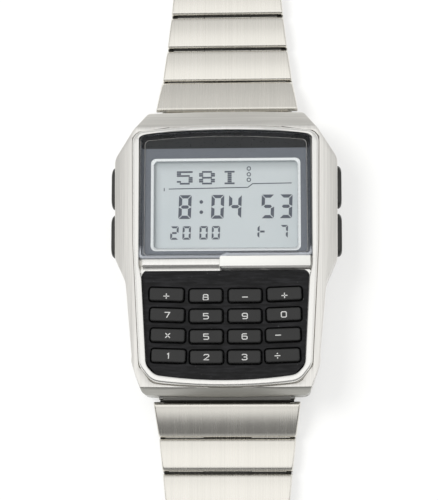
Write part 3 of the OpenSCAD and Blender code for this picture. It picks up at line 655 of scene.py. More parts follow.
def fuller_foot(mesh):
    """Moves the flanks outwards at the lower corners, beyond a line that clears rim and lugs."""
    for vertex in mesh.vertices:
        x, y = abs(vertex.co.x) / MM, vertex.co.y / MM
        line = max(LUG_HALF, FLANK_HALF + FLANK_SLOPE * min(0.0, y - FOOT_FULL))
        if y < FOOT_START and x > line:
            share = min(1.0, (y - FOOT_START) / (FOOT_FULL - FOOT_START))
            vertex.co.x += math.copysign(FOOT_GROWTH * share * MM, vertex.co.x)


def slope_mark(face):
    """1 on the hood's slope, 2 on the tail's, which takes the steel darkened as painted shade, 0
    elsewhere.
    """
    if abs(face.normal.y) > SLOPE_NORMAL and abs(face.center.y) > SLOPE_START * MM:
        return 1 if face.normal.y > 0 else 2
    return 0


def case_mesh():
    """The case with eased edges; the hood and tail slopes carry lines across, and the tail's slope
    is darker as painted shade.
    """
    mesh = eased_copy("case_body", 0.13, 28, case_edge)
    mesh.polygons.foreach_set("material_index", [slope_mark(face) for face in mesh.polygons])
    fuller_foot(mesh)
    return mesh


placed("case_shell", case_mesh(), [case_steel, hood_steel, tail_painted_shade_steel],
       "case", "brushed_case", "case_body")


def rim_mesh():
    """Ring with a rounded outer edge, whose groove shows as a dark line against the case."""
    outside = [(0.09, RIM_FOOT), (0.09, 9.9), (0.11, 10.08), (0.17, 10.24), (0.27, 10.36),
               (0.4, 10.44), (0.56, 10.485), (0.72, RIM_TOP)]
    inside = [(-0.2, RIM_TOP), (-0.09, 10.47), (-0.02, 10.4), (0.0, 10.3), (0.0, RIM_FOOT)]
    rings = [at_height(outline(rim_side(d), 1.2, 0.8), z) for d, z in outside]
    holes = [at_height(outline(opening_side(d), 0.7, 0.9), z) for d, z in inside]
    points, faces, _ = loft(rings, cap=(False, False))
    start = len(points)
    more, rest, _ = loft(holes, cap=(False, False))
    points += more
    faces += [tuple(start + i for i in face) for face in rest]
    mesh = mesh_from("rim", points, faces)
    with Edited(mesh) as work:
        for z in (RIM_TOP, RIM_FOOT):
            edges = [e for e in work.edges
                     if e.is_boundary and all(abs(v.co.z / MM - z) < 1e-4 for v in e.verts)]
            bmesh.ops.triangle_fill(work, use_beauty=True, edges=edges, normal=UP)
    return tidy(mesh, 40)


placed("rim_ring", rim_mesh(), [rim_steel], "case", "polished_rim", "bezel_rim")


def strip_mesh(x0, x1, profile):
    """Bar along X over a profile of (y, z), with eased ends."""
    middle = sum(z for _, z in profile) / len(profile)

    def ring(x, shrink):
        return [(x, y, z - shrink * (z > middle)) for y, z in profile]
    return lofted("strip", [
        ring(x, shrink) for x, shrink in (
            (x0, 0.3), (x0 + 0.1, 0.22), (x0 + 0.3, 0.06), (x0 + 0.5, 0.0),
            (x1 - 0.2, 0.0), (x1 - 0.06, 0.08), (x1, 0.25))], crease=40)


left_profile = [
    (-1.36, 9.0), (-1.36, 10.0), (-1.41, 10.08), (-1.5, 10.1), (-2.2, 10.1), (-2.42, 10.06),
    (-2.56, 9.96), (-2.74, 9.84), (-3.1, 9.7), (-3.32, 9.62), (-3.64, 9.6), (-3.64, 9.0)]
plaque_profile = [
    (-0.93, 9.0), (-0.93, 10.4), (-0.97, 10.47), (-1.06, 10.5), (-2.56, 10.5), (-2.66, 10.48),
    (-2.74, 10.43), (-3.1, 10.0), (-3.3, 9.7), (-3.4, 9.6), (-3.64, 9.6), (-3.64, 9.0)]


def strip_piece(name, x0, x1, profile, finishes, face_end):
    """The strip's flat top takes the first finish, its slope towards the keys the second."""
    mesh = strip_mesh(x0, x1, profile)
    mesh.polygons.foreach_set(
        "material_index", [1 if f.center.y / MM < face_end else 0 for f in mesh.polygons])
    placed(name, mesh, finishes, "case", "polished_rim")


strip_piece("strip_polished", -14.35, -0.5, left_profile, [rim_steel, rim_steel], -2.5)
strip_piece("strip_plaque", -0.95, 14.35, plaque_profile, [plaque_white, rim_steel], -2.62)


def corner_pieces():
    """Steel corners that round off the keypad's upper end."""
    mesh = bpy.data.meshes.new("corners")
    x, y, radius, foot, top = 14.2, -3.2, 1.3, 9.2, 9.78
    angles = [math.pi / 2 * i / 6 for i in range(7)]
    arc = [(x - radius + radius * math.sin(a), y - radius + radius * math.cos(a)) for a in angles]
    with Edited(mesh) as work:
        for side in (-1, 1):
            shape = [(side * along, up) for along, up in [(x, y)] + arc]
            work.from_mesh(lofted("corner", [at_height(shape, z) for z in (foot, top)]))
    return mesh


placed("keypad_corners", corner_pieces(), [rim_steel], "case", "polished_rim")

# Crystal: clear plate with a bevelled, more opaque edge, which carries painted shade and a painted
# highlight
placed("crystal_glass", lofted("crystal", [
    at_height(glass_outline(d), z)
    for d, z in ((0.05, GLASS_FOOT), (0.05, 10.02), (0.16, 10.2), (0.42, GLASS_TOP))],
    marks=(1, 1, 1), crease=20), [crystal_clear, crystal_edge_painted_light], "case", "crystal", "crystal")

# Bright frame round the display, sloping down to it
VIEW_CENTRE = (0.0, 8.08)
VIEW_HALF = (12.18, 7.43)


def frame_ring(border, z):
    return at_height(box_outline(
        VIEW_HALF[0] + border, VIEW_HALF[1] + border, 0.6 + border / 2, VIEW_CENTRE, 6), z)


def frame_mesh():
    rings = [frame_ring(b, z) for b, z in (
        (0.57, 8.4), (0.57, 9.02), (0.53, 9.08), (0.44, 9.09), (0.12, 9.03), (0.03, 8.98),
        (0.0, 8.88), (0.0, 8.36))]
    points, faces, _ = loft(rings + rings[:1], cap=(False, False))
    return tidy(mesh_from("frame", points, faces), 40)


placed("display_frame", frame_mesh(), [bright_steel], "case", "bright_frame", "lcd_frame")


def mask_mesh():
    """Printed sheet under the crystal, cut out for the display's frame."""
    sheet = lofted("mask", [at_height(glass_outline(0.85), z) for z in (8.96, 9.09)])
    window = lofted("window", [frame_ring(0.56, z) for z in (8.5, 9.5)])
    return tidy(combine(sheet, [("DIFFERENCE", window)]))


placed("mask_sheet", mask_mesh(), [printed_mask], "case", "mask", "dial_mask")

# ---------------- display content: generic numbers only
SEGMENTS = {
    "0": "abcdef", "1": "bc", "2": "abged", "3": "abgcd", "4": "fgbc", "5": "afgcd", "7": "abc",
    "8": "abcdefg"}
DOTS = {
    "5": ("11111", "10000", "11110", "00001", "00001", "10001", "01110"),
    "8": ("01110", "10001", "10001", "01110", "10001", "10001", "01110"),
    "1": ("01110", "00100", "00100", "00100", "00100", "00100", "01110")}


def segment_shapes(w, height, t, g):
    """The seven segments by letter, for a digit's width, height, stroke and gap."""
    middle = height / 2
    top = [(g, height), (w - g, height), (w - t - g, height - t), (t + g, height - t)]
    right = [
        (w, height - g), (w, middle + g / 2), (w - t, middle + t / 2 + g / 2),
        (w - t, height - t - g)]
    bar_points = [
        (t / 2 + g, middle), (t + g, middle + t / 2), (w - t - g, middle + t / 2),
        (w - t / 2 - g, middle), (w - t - g, middle - t / 2), (t + g, middle - t / 2)]

    def flip_y(shape):
        return [(x, height - y) for x, y in shape]

    def flip_x(shape):
        return [(w - x, y) for x, y in shape]
    return {"a": top, "b": right, "c": flip_y(right), "d": flip_y(top),
            "e": flip_x(flip_y(right)), "f": flip_x(right), "g": bar_points}


def digits(text, centres, foot, width, height, stroke, gap):
    """Seven-segment digits that lean a little to the right."""
    cell = segment_shapes(width, height, stroke, gap)
    return [
        [(x - width / 2 + centre + (y - height / 2) * 0.035, y + foot) for x, y in cell[s]]
        for digit, centre in zip(text, centres) for s in SEGMENTS[digit]]


def dot_glyph(digit, left, foot, width, height):
    """Digit of a dot display, whose neighbouring dots run together."""
    step_x, step_y = width / 5, height / 7
    shapes = []
    for r, row in enumerate(DOTS[digit]):
        low = foot + (6 - r) * step_y
        for c in range(5):
            if row[c] == "1" and (c == 0 or row[c - 1] == "0"):
                end = (row[c:] + "0").index("0") + c
                x0, x1 = left + (c - 0.2) * step_x, left + (end + 0.2) * step_x
                shapes.append([(x0, low + 0.02), (x1, low + 0.02), (x1, low + step_y - 0.02),
                               (x0, low + step_y - 0.02)])
    return shapes


def disc(x, y, radius, sides=20):
    return [(x + radius * math.cos(a), y + radius * math.sin(a)) for a in turns(sides)]


DISPLAY_SCALE, DISPLAY_SHIFT = (0.992, 1.003), -1.145


def display_y(v):
    """Place along the watch of a height on the display's own scale."""
    return DISPLAY_SCALE[1] * v + DISPLAY_SHIFT


def display_shapes():
    across = DISPLAY_SCALE[0]
    shapes = digits("80453", [across * x for x in (-7.0, -1.4, 1.6, 7.2, 10.3)],
                    display_y(6.85), 2.15, 4.1, 0.56, 0.09)
    shapes += digits("2000", [across * x for x in (-8.8, -6.7, -3.8, -1.7)],
                     display_y(3.3), 1.4, 2.3, 0.34, 0.07)
    shapes += digits("17", [across * x for x in (5.1, 9.95)],
                     display_y(3.45), 1.3, 2.25, 0.34, 0.07)
    shapes.append([(6.2 + dx, display_y(4.6) + dy) for dx, dy in
                   ((-0.38, -0.17), (0.38, -0.17), (0.38, 0.17), (-0.38, 0.17))])
    shapes += [disc(-4.17, display_y(v), 0.31) for v in (9.75, 8.0)]
    for digit, left in (("5", -8.25), ("8", -4.45), ("1", -0.6)):
        shapes += dot_glyph(digit, left, display_y(12.75), 2.5, 2.35)
    for v in (15.45, 14.45, 13.5):
        shapes += ribbon(disc(3.93, display_y(v), 0.3, 16), 0.16, closed=True)
    line = ((-9.72, 12.02), (3.77, 12.2), (4.57, 12.83), (11.2, 12.9))
    shapes += ribbon([(x, display_y(v)) for x, v in line], 0.16)
    shapes += ribbon([(-10.5, display_y(11.65)), (-10.5, display_y(12.2))], 0.16)
    return shapes


placed("display_digits", flat_shapes("digits", display_shapes(), LCD_TOP + 0.012, 0.008), [lcd_ink],
       "case", "display")


# ---------------- trees of Geometry Nodes
INPUT_KINDS = {float: "NodeSocketFloat", tuple: "NodeSocketVector"}


class Maker(Tree):
    """A Geometry Nodes tree with named inputs, which ends in Realize Instances and Set Material."""

    def __init__(self, name, sizes, build, finish_by_place=None):
        group = bpy.data.node_groups.new(name, "GeometryNodeTree")
        super().__init__(group)
        group.interface.new_socket("Geometry", in_out="INPUT", socket_type="NodeSocketGeometry")
        group.interface.new_socket("Geometry", in_out="OUTPUT", socket_type="NodeSocketGeometry")
        self.names = {}
        # The second finish carries the painted gap shade, on the faces that finish_by_place picks
        extra = {"hinge finish": None} if finish_by_place else {}
        for label, kind in {**sizes, "finish": None, **extra}.items():
            made = group.interface.new_socket(
                label, in_out="INPUT", socket_type=INPUT_KINDS.get(kind, "NodeSocketMaterial"))
            self.names[label] = made.identifier
        first = self.node("NodeGroupInput").socket.node
        given = {s.name: Value(self, s) for s in first.outputs if s.name}
        shape = given["Geometry"]
        if finish_by_place:
            shape = self.node(
                "GeometryNodeStoreNamedAttribute", {"data_type": "FLOAT", "domain": "FACE"},
                {"Geometry": shape, "Name": "at hinge", "Value": finish_by_place(self, given)})
        shape = build(self, {**given, "Geometry": shape})
        shape = self.node("GeometryNodeRealizeInstances", inputs={0: shape})
        shape = self.node(
            "GeometryNodeSetMaterial", inputs={"Geometry": shape, "Material": given["finish"]})
        if finish_by_place:
            chosen = self.node(
                "GeometryNodeInputNamedAttribute", {"data_type": "FLOAT"}, {"Name": "at hinge"})
            shape = self.node("GeometryNodeSetMaterial", inputs={
                "Geometry": shape, "Selection": chosen > 0.5, "Material": given["hinge finish"]})
        self.node("NodeGroupOutput", inputs={0: shape})

    def make(self, base, **values):
        """Plain mesh of a base mesh run through the tree."""
        piece = new_object("base", base.copy())
        step = piece.modifiers.new("maker", "NODES")
        step.node_group = self.tree
        for label, value in values.items():
            step[self.names[label.replace("_", " ")]] = value
        piece.update_tag()
        mesh = evaluated(piece)
        bpy.data.objects.remove(piece)
        return mesh


def moved(tree, shape, place, turn):
    return tree.node(
        "GeometryNodeTransform", inputs={"Geometry": shape, "Translation": place, "Rotation": turn})


def bend_sides(tree, shape, beyond, shift):
    """Moves points with |x| beyond a line outwards by a shift, which may vary along the piece."""
    x, y, z = tree.split(tree.node("GeometryNodeInputPosition"))
    step = x.math("SIGN") * (abs(x) > beyond) * shift(y)
    return tree.node(
        "GeometryNodeSetPosition", inputs={"Geometry": shape, "Offset": tree.join(step, 0.0, 0.0)})


def link_tree(tree, given):
    """Gives a link its taper, slope, place on the bracelet and side."""
    def shift(y):
        share = y / given["pitch"]
        near, away = given["near half width"], given["far half width"]
        return near + (away - near) * share - given["reference half width"]
    shape = bend_sides(tree, given["Geometry"], 8.2 * MM, shift)
    shape = moved(tree, shape, tree.join(0.0, given["hinge y"], given["hinge z"]),
                  tree.join(-given["slope"], 0.0, 0.0))
    return moved(tree, shape, (0, 0, 0), tree.join(0.0, 0.0, given["side turn"]))


def near_hinges(tree, given):
    """1 on the faces deep in the gaps, round a link's two axes, which take the painted gap shade.
    """
    x, y, z = tree.split(tree.node("GeometryNodeInputPosition"))
    reach = tree.math("MINIMUM", abs(y) - given["open end"], abs(y - given["pitch"]))
    return (reach < 0.17 * MM) * (z < given["gap top"])


def key_tree(tree, given):
    """Widens a key cap, turns it and sets it in its opening."""
    shape = bend_sides(tree, given["Geometry"], 1.0 * MM, lambda y: given["extra width"] / 2)
    return moved(tree, shape, given["place"], tree.join(0.0, 0.0, given["turn"]))


def screw_tree(tree, given):
    """Sets a screw in each corner of the case back."""
    grid = tree.node("GeometryNodeMeshGrid", inputs={
        "Size X": given["spacing x"], "Size Y": given["spacing y"],
        "Vertices X": 2, "Vertices Y": 2})
    return tree.node(
        "GeometryNodeInstanceOnPoints", inputs={"Points": grid, "Instance": given["Geometry"]})


LINK_INPUTS = (
    "near half width", "far half width", "reference half width", "pitch", "open end", "gap top",
    "slope", "hinge y", "hinge z", "side turn")
link_maker = Maker("bracelet link", dict.fromkeys(LINK_INPUTS, float), link_tree, near_hinges)
key_maker = Maker("key cap", {"extra width": float, "place": tuple, "turn": float}, key_tree)
screw_maker = Maker("case back screws", {"spacing x": float, "spacing y": float}, screw_tree)


# ---------------- bracelet
BOTTOM, TOP, CROWN = -1.15, 1.45, 0.2
BARREL, POCKET = 0.85, 0.95
PIN, PIN_HELD, PIN_FREE, PIN_HALF = 0.4, 0.41, 0.45, 9.8
MIDDLE_HALF, KNUCKLE_HALF, KNUCKLE_GAP = 4.0, 8.9, 0.1
CASE_BAR, CASE_BAR_HALF, CASE_HOLE, WING_START = 1.25, 8.22, 0.85, 8.9
PLAIN_START, FOOT_NEARER = 0.15, 0.28
SEAM, BEYOND = 0.01, 30


def link_section(length, near):
    """A link's section as (y, z), with a tight near edge, a wide far edge and a crowned top."""
    shoulder, far = TOP - CROWN, length - 0.31
    points = [(near + 0.08, BOTTOM), (length - 0.24, BOTTOM), (length - 0.145, BOTTOM + 0.1)]
    points += [(length - back, z) for back, z in (
        (0.15, -0.5), (0.008, 0.0), (0.17, 0.4), (0.2, 0.55), (0.24, 0.76), (0.33, 0.94),
        (0.46, 1.08), (0.62, 1.18), (0.82, 1.26), (1.05, 1.32))]
    steps = 9
    start, end = length - 1.35, near + 0.72
    for i in range(steps + 1):
        y = start + (end - start) * i / steps
        points.append((y, shoulder + CROWN * math.sin(math.pi * (far - y) / (far - near))))
    points += [(near + back, z) for back, z in (
        (0.52, 1.31), (0.38, 1.26), (0.27, 1.18), (0.17, 1.05), (0.09, 0.88), (0.03, 0.68))]
    points += [] if near > 0.5 else [(near, 0.45), (0.008, 0.0), (0.12, -0.45)]
    return points + [(near, BOTTOM + 0.08)]


def link_slab(length, near, edge=0.4):
    """Slab with rounded long edges, at the reference width."""
    section = link_section(length, near)
    rings = []
    for sign in (-1, 1):
        for step in (range(6) if sign < 0 else range(5, -1, -1)):
            angle = math.pi / 2 * (5 - step) / 5
            inset, drop = edge * (1 - math.sin(angle)), edge * (1 - math.cos(angle))
            ring = []
            for y, z in section:
                share = min(1.0, max(0.0, z + 0.3))
                lift = 0.25 * drop if z < BOTTOM + 0.12 else 0.0
                ring.append((sign * (REFERENCE_HALF - inset), y, z - drop * share + lift))
            rings.append(ring)
    return lofted("slab", rings)


def link_mesh(first, near):
    """A link of the bracelet in its own frame: near hinge at the origin, far hinge at +Y."""
    length = FIRST_PITCH if first else LINK_PITCH
    foot, away = SEAM - BARREL, MIDDLE_HALF + KNUCKLE_GAP
    steps = [("DIFFERENCE", bar(length, 0, -away, away, POCKET))]
    if first:
        inner, hole = CASE_BAR_HALF - SEAM, CASE_HOLE
        steps += [("UNION", bar(0, 0, -CASE_BAR_HALF, CASE_BAR_HALF, CASE_BAR, 32)),
                  ("UNION", block(-inner, inner, 0.3, PLATE_START + 0.5, BOTTOM + 0.05, 0.3))]
        wing = ((-0.1, -2.2), (PLATE_START + 2, -2.2), (PLATE_START + 2, BOTTOM),
                (PLATE_START, 0.7), (-0.1, 0.7))
        steps += [("DIFFERENCE", lofted("wing", [[(x, y, z) for y, z in wing] for x in ends]))
                  for ends in ((-BEYOND, -WING_START), (WING_START, BEYOND))]
    else:
        inner, hole, wide = MIDDLE_HALF - SEAM, PIN_FREE, KNUCKLE_HALF + KNUCKLE_GAP
        steps += [("DIFFERENCE", bar(0, 0, x0, x1, POCKET))
                  for x0, x1 in ((-wide, -MIDDLE_HALF), (MIDDLE_HALF, wide))]
        steps += [("UNION", bar(0, 0, -MIDDLE_HALF, MIDDLE_HALF, BARREL)),
                  ("UNION", block(-inner, inner, 0.3, 1.2, foot, 0))]
    for x0, x1 in ((-KNUCKLE_HALF, -away), (away, KNUCKLE_HALF)):
        steps += [("UNION", bar(length, 0, x0, x1, BARREL)),
                  ("UNION", block(x0 + SEAM, x1 - SEAM, length - 1.2, length - 0.3, foot, 0))]
    steps += [("DIFFERENCE", bar(0, 0, -BEYOND, BEYOND, hole)),
              ("DIFFERENCE", bar(length, 0, -BEYOND, BEYOND, PIN_HELD))]
    mesh = combine(link_slab(length, near), steps)
    with Edited(mesh) as work:
        work.from_mesh(bar(length, 0, -PIN_HALF, PIN_HALF, PIN, 16))
    return mesh


def band_half(side, s):
    """Half the bracelet's width at a distance from the case."""
    more, reach, curve = {"upper": (3.53, 31, 1.45), "lower": (3.62, 43.5, 1.55)}[side]
    return 9 + more * max(0.0, 1 - s / reach) ** curve


def link_sizes(side, k):
    """The tree's inputs in millimetres for the link at place k of a side."""
    if k == 1:
        start, sizes = 0.0, {
            "pitch": FIRST_PITCH, "open_end": CASE_HOLE, "gap_top": 1.35, "hinge_y": HINGE_Y,
            "hinge_z": HINGE_Z}
    else:
        past = (k - 2) * LINK_PITCH
        start, sizes = FIRST_PITCH + past, {
            "pitch": LINK_PITCH, "open_end": 0.0, "gap_top": 0.9, "hinge_y": NEXT_HINGE_Y + past,
            "hinge_z": LINK_Z}
    return {**sizes, "near_half_width": band_half(side, start),
            "far_half_width": band_half(side, start + sizes["pitch"]),
            "reference_half_width": REFERENCE_HALF}


first_links = {"upper": link_mesh(True, PLATE_START),
               "lower": link_mesh(True, PLATE_START - FOOT_NEARER)}
plain_link = link_mesh(False, PLAIN_START)
for side, count, turn in (("upper", 8, 0.0), ("lower", 7, math.pi)):
    for k in range(1, count + 1):
        mesh = link_maker.make(
            first_links[side] if k == 1 else plain_link, slope=FIRST_SLOPE if k == 1 else 0.0,
            side_turn=turn, finish=link_steel, hinge_finish=painted_gap_shade_steel,
            **{label: size * MM for label, size in link_sizes(side, k).items()})
        name = f"link_{side}_{k}"
        placed("bracelet_" + name, tidy(mesh, 30, outwards=False), [], name, "bracelet", name)

for node in ("clasp_frame", "clasp_cover", "clasp_tongue"):
    placed(node + "_steel", eased_copy(node, 0.09), [clasp_steel], node, "clasp", node)

# ---------------- case back screws
def screw_base():
    """Countersunk screw with a slot across its head, at the origin."""
    profile = (
        (1.08, 0.06), (1.16, 0.1), (1.2, 0.18), (1.2, 0.6), (0.7, 0.6), (0.7, 3.1), (0.6, 3.2))
    head = lofted("head", [at_height(disc(0, 0, r, 24), z) for r, z in profile], crease=40)
    return combine(head, [("DIFFERENCE", block(-2, 2, -0.15, 0.15, -1, 0.3))])


SCREW_SPACING = (23.2, 41.8)
screws = screw_maker.make(
    screw_base(), spacing_x=SCREW_SPACING[0] * MM, spacing_y=SCREW_SPACING[1] * MM,
    finish=screw_steel)
placed("back_screws", tidy(screws, 40, outwards=False), [], "case", "screws", "case_back_screws")


# ---------------- pushers
def stadium(x, y, half_y, half_z, steps=9):
    """Ring across X: a bar's cross-section with round ends."""
    radius, ring = min(half_z, half_y), []
    for end in (1, -1):
        for i in range(steps + 1):
            a = math.pi * (i / steps - 0.5) + (0 if end > 0 else math.pi)
            ring.append((x, y + end * (half_y - radius) + radius * math.cos(a),
                         PUSHER_Z + half_z * math.sin(a)))
    return ring


def pusher_mesh(side, y):
    """Pusher bar with its stem, and the steel clip at the stem's inner end."""
    rings = [(13.95, 0.8, 0.8), (18.15, 0.8, 0.8), (18.15, 3.7, 1.25), (19.2, 3.7, 1.25),
             (19.32, 3.62, 1.23), (19.52, 3.4, 1.16), (19.64, 3.1, 1.06), (19.7, 2.75, 0.92)]
    head = lofted("pusher", [stadium(side * x, y, a, b) for x, a, b in rings], crease=35)
    clip = lofted("clip", [stadium(side * x, y, 1.2, 1.2) for x in (13.8, 14.05)])
    with Edited(head) as work:
        first = len(work.faces)
        work.from_mesh(clip)
        work.faces.ensure_lookup_table()
        for face in work.faces[first:]:
            face.material_index = 1
    return tidy(head, 35)


for side, word in ((-1, "left"), (1, "right")):
    for y, level in zip(PUSHER_ROWS, ("upper", "lower")):
        name = f"pusher_{level}_{word}"
        placed(name + "_bar", pusher_mesh(side, y), [pusher_black, wire_steel],
               name, "pusher_black", name)

# ---------------- keys and their plate
def over_pockets(middle):
    """The openings' upper edges, inside the plate's outline."""
    return middle.z > PLATE_TOP - 0.02 and abs(middle.x) < 13.2 and -20.6 < middle.y < -5.6


def plate_mesh():
    """The keypad plate, whose openings have sloping walls, painted near black as shade."""
    mesh = eased_copy("keypad_plate", 0.2, 40, over_pockets, 1)
    walls = [1 if over_pockets(f.center / MM + Vector((0, 0, 0.2))) and f.normal.z < 0.95 else 0
             for f in mesh.polygons]
    mesh.polygons.foreach_set("material_index", walls)
    return mesh


plate_black = keypad_finish()
placed("keypad_plate_cut", plate_mesh(), [plate_black, pocket_painted_shade],
       "case", "keypad_plate", "keypad_plate")
# Black filler in the gap between the strip and the keys: painted shade in that gap
placed("keypad_border", block(-14.1, 14.1, -3.64, -3.36, 9.3, 9.69), [plate_black],
       "case", "keypad_plate")

KEY_SYMBOLS = ("+8-+", "7590", "x56-", "123/")
STROKES = {
    "0": [((0.7, 0), (3.3, 0), (4, 0.8), (4, 5.2), (3.3, 6), (0.7, 6), (0, 5.2), (0, 0.8))],
    "1": [((1.0, 4.9), (2.2, 6), (2.2, 0))],
    "2": [((0, 4.8), (0.7, 6), (3.3, 6), (4, 5.1), (4, 4), (0.1, 0.1), (4.1, 0.1))],
    "3": [((0, 5.2), (0.7, 6), (3.2, 6), (3.9, 5.2), (3.9, 3.9), (3.1, 3.1), (1.4, 3.1)),
          ((3.1, 3.1), (4, 2.2), (4, 0.8), (3.2, 0), (0.7, 0), (0, 0.8))],
    "5": [((4, 6), (0.1, 6), (0.1, 3.4), (3.2, 3.4), (4, 2.6), (4, 0.8), (3.2, 0), (0, 0))],
    "6": [((3.8, 6), (0.8, 6), (0, 5.2), (0, 0.8), (0.8, 0), (3.2, 0), (4, 0.8), (4, 2.6),
           (3.2, 3.4), (0.2, 3.4))],
    "7": [((0, 6), (4, 6), (1.7, 0))],
    "8": [((0.7, 3.1), (0.2, 3.7), (0.2, 5.3), (0.8, 6), (3.2, 6), (3.8, 5.3), (3.8, 3.7),
           (3.3, 3.1)),
          ((0.7, 3.1), (3.3, 3.1), (4, 2.4), (4, 0.7), (3.3, 0), (0.7, 0), (0, 0.7), (0, 2.4))],
    "9": [((0.2, 0), (3.2, 0), (4, 0.8), (4, 5.2), (3.2, 6), (0.8, 6), (0, 5.2), (0, 3.4),
           (0.8, 2.6), (3.8, 2.6))],
    "+": [((2, -0.1), (2, 6.1)), ((-0.4, 3), (4.4, 3))],
    "-": [((-0.3, 3), (4.3, 3))],
    "x": [((0.2, 0.4), (3.8, 5.6)), ((0.2, 5.6), (3.8, 0.4))],
    "/": [((-0.3, 3), (4.3, 3))]}
CLOSED = {("0", 0), ("8", 1)}
SYMBOL_UNIT = (0.21, 0.15)
STROKE_WIDTH = 0.155


def symbol_shapes(symbol):
    shapes = []
    for i, stroke in enumerate(STROKES[symbol]):
        line = [((x - 2) * SYMBOL_UNIT[0], (y - 3) * SYMBOL_UNIT[1]) for x, y in stroke]
        shapes += ribbon(line, STROKE_WIDTH, closed=(symbol, i) in CLOSED)
    if symbol == "/":
        shapes += [disc(0, y, 0.11, 12) for y in (-0.37, 0.37)]
    return shapes


def key_base():
    """Cap with a flange, eased edges and a slightly dished top, at the origin."""
    rings = [(-0.3, 8.35), (-0.3, 8.75), (0.0, 8.75), (0.0, 10.02), (0.025, 10.14), (0.09, 10.24),
             (0.17, 10.28), (0.26, KEY_TOP), (0.34, 10.297), (0.45, 10.29)]
    return lofted("key", [
        at_height(box_outline(KEY_SIZE[0] / 2 - d, KEY_SIZE[1] / 2 - d, max(0.05, 0.42 - d)), z)
        for d, z in rings], crease=40)


COLUMN_PITCH, COLUMN_DRAW = 6.6, 0.08
FIRST_ROW, ROW_PITCH = -7.63, 3.44
OUTER_RAISE, OUTER_EXTRA, OUTER_TURN = 0.23, 0.25, 2


def key_place(row, column):
    """A key's place and turn: lower rows draw in, outer keys stand a little higher and turned."""
    x = (column - 2.5) * (COLUMN_PITCH - COLUMN_DRAW * (row - 1))
    y = FIRST_ROW - ROW_PITCH * (row - 1) + (OUTER_RAISE if column in (1, 4) else 0)
    turn = {1: -OUTER_TURN, 4: OUTER_TURN}.get(column, 0)
    return x, y, math.radians(turn)


key_cap = key_base()
for row, symbols in enumerate(KEY_SYMBOLS, 1):
    for column, symbol in enumerate(symbols, 1):
        name = f"key_r{row}c{column}"
        x, y, turn = key_place(row, column)
        cap = key_maker.make(
            key_cap, extra_width=(OUTER_EXTRA if column in (1, 4) else 0.0) * MM,
            place=(x * MM, y * MM, 0.0), turn=turn, finish=key_black)
        placed(name + "_cap", tidy(cap, 40, outwards=False), [], name, "key_plastic", name)
        shift = -0.85 if (row, column) in ((3, 4), (4, 4)) else 0.0
        low = -0.3 if row == 1 else -0.05
        sign = flat_shapes(name, symbol_shapes(symbol), KEY_TOP - 0.002, 0.01)
        sign.transform(Matrix.Translation(Vector((x, y, 0)) * MM) @ Matrix.Rotation(turn, 4, "Z")
                       @ Matrix.Translation(Vector((shift, low, 0)) * MM))
        placed(name + "_symbol", sign, [key_paint], name, "key_plastic")

# ---------------- floor, light and camera
FLOOR_Z, FLOOR_HALF = -0.03, 1500.0


def floor_finish():
    """Pale floor that keeps the object's shadow and looks white to the camera."""
    finish = Finish("floor")
    place = finish.place()
    cloud = finish.noise(place, (0.01,) * 3)
    path = finish.node("ShaderNodeLightPath")
    seen = path
    for label in ("Is Glossy Ray", "Is Transmission Ray"):
        seen = seen.math("MAXIMUM", Value(finish, path.socket.node.outputs[label]))
    lit = finish.node("ShaderNodeBsdfDiffuse", inputs={
        "Color": finish.blend(cloud, rgb(242, 242, 240), rgb(246, 246, 244))})
    glow = finish.node("ShaderNodeEmission", inputs={"Color": (1, 1, 1, 1), "Strength": 1.1})
    mixed = finish.node("ShaderNodeMixShader", inputs={0: seen * 0.5, 1: lit, 2: glow})
    finish.node("ShaderNodeOutputMaterial", inputs={"Surface": mixed})
    return finish.material


corners = [(x * FLOOR_HALF, y * FLOOR_HALF, FLOOR_Z)
           for x, y in ((-1, -1), (1, -1), (1, 1), (-1, 1))]
ground = mesh_from("floor", corners, [(0, 1, 2, 3)])
ground.materials.append(floor_finish())
new_object("floor", ground)


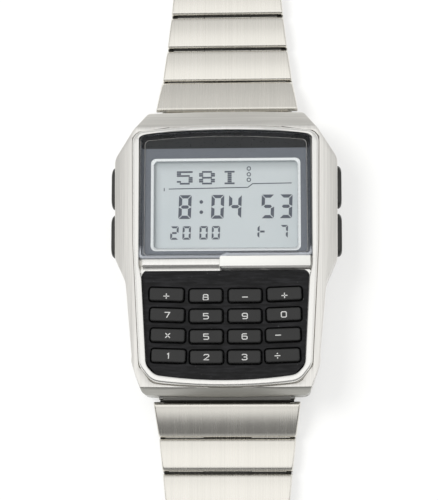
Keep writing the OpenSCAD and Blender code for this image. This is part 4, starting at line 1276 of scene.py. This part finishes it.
def studio_world():
    """Light tent: bright overhead, softer towards 12 o'clock, with a dark card above 6 o'clock."""
    world = bpy.data.worlds.new("studio")
    world.use_nodes = True
    tree = Tree(world.node_tree)
    x, y, z = tree.split(tree.node("ShaderNodeTexCoord", out="Generated"))
    turn = tree.math("ARCTAN2", -y, z) / (2 * math.pi) + 0.5
    levels = (
        (-180, 0.6), (-90, 0.62), (-66, 0.6), (-50, 0.72), (-38, 0.8), (-27, 0.74), (-16, 0.98),
        (-6, 1.14), (28, 1.17), (34, 0.55), (38, 0.16), (52, 0.14), (60, 0.34), (75, 0.44),
        (90, 0.46), (180, 0.6))
    level = tree.node("ShaderNodeValToRGB", {
        "stops": [(angle / 360 + 0.5, (v, v, v * 0.99, 1)) for angle, v in levels]}, {0: turn})
    side = 1 - tree.ramp(abs(x), 0.3, 0.95) * 0.12
    path = tree.node("ShaderNodeLightPath")
    seen = path.math("MAXIMUM", Value(tree, path.socket.node.outputs["Is Transmission Ray"]))
    tint = tree.blend(seen, level, (1, 1, 1, 1))
    strength = side.math("MAXIMUM", seen) * 0.98
    light = tree.node("ShaderNodeBackground", inputs={"Color": tint, "Strength": strength})
    tree.node("ShaderNodeOutputWorld", inputs={"Surface": light})
    bpy.context.scene.world = world


def soft_lamp(place, size, power):
    """Round lamp aimed at the watch. It casts the shadow; the steel mirrors only the tent."""
    data = bpy.data.lights.new("soft lamp", "AREA")
    data.shape, data.size, data.energy = "DISK", size, power
    lamp = new_object("soft lamp", data)
    lamp.location = place
    lamp.rotation_euler = (-Vector(place)).to_track_quat("-Z", "Y").to_euler()
    lamp.visible_glossy = False


studio_world()
soft_lamp((-0.42, 0.16, 0.62), 0.4, 3.0)

camera_data = bpy.data.cameras.new("camera")
camera_data.lens, camera_data.sensor_width = 128.6, 36.0
camera_data.clip_start = 0.01
camera = new_object("camera", camera_data)
TILT, YAW = math.radians(8.5), math.radians(2.75)
AIM = Vector((0, -1.33, 10.5))
# How far the camera stands from there, along its own three axes
STAND = Vector((-1.05, 1.34, 300))
camera.rotation_euler = (TILT, YAW, 0)
camera.location = (AIM + camera.rotation_euler.to_matrix() @ STAND) * MM
bpy.context.scene.camera = camera
bpy.context.scene.view_settings.view_transform = "Standard"
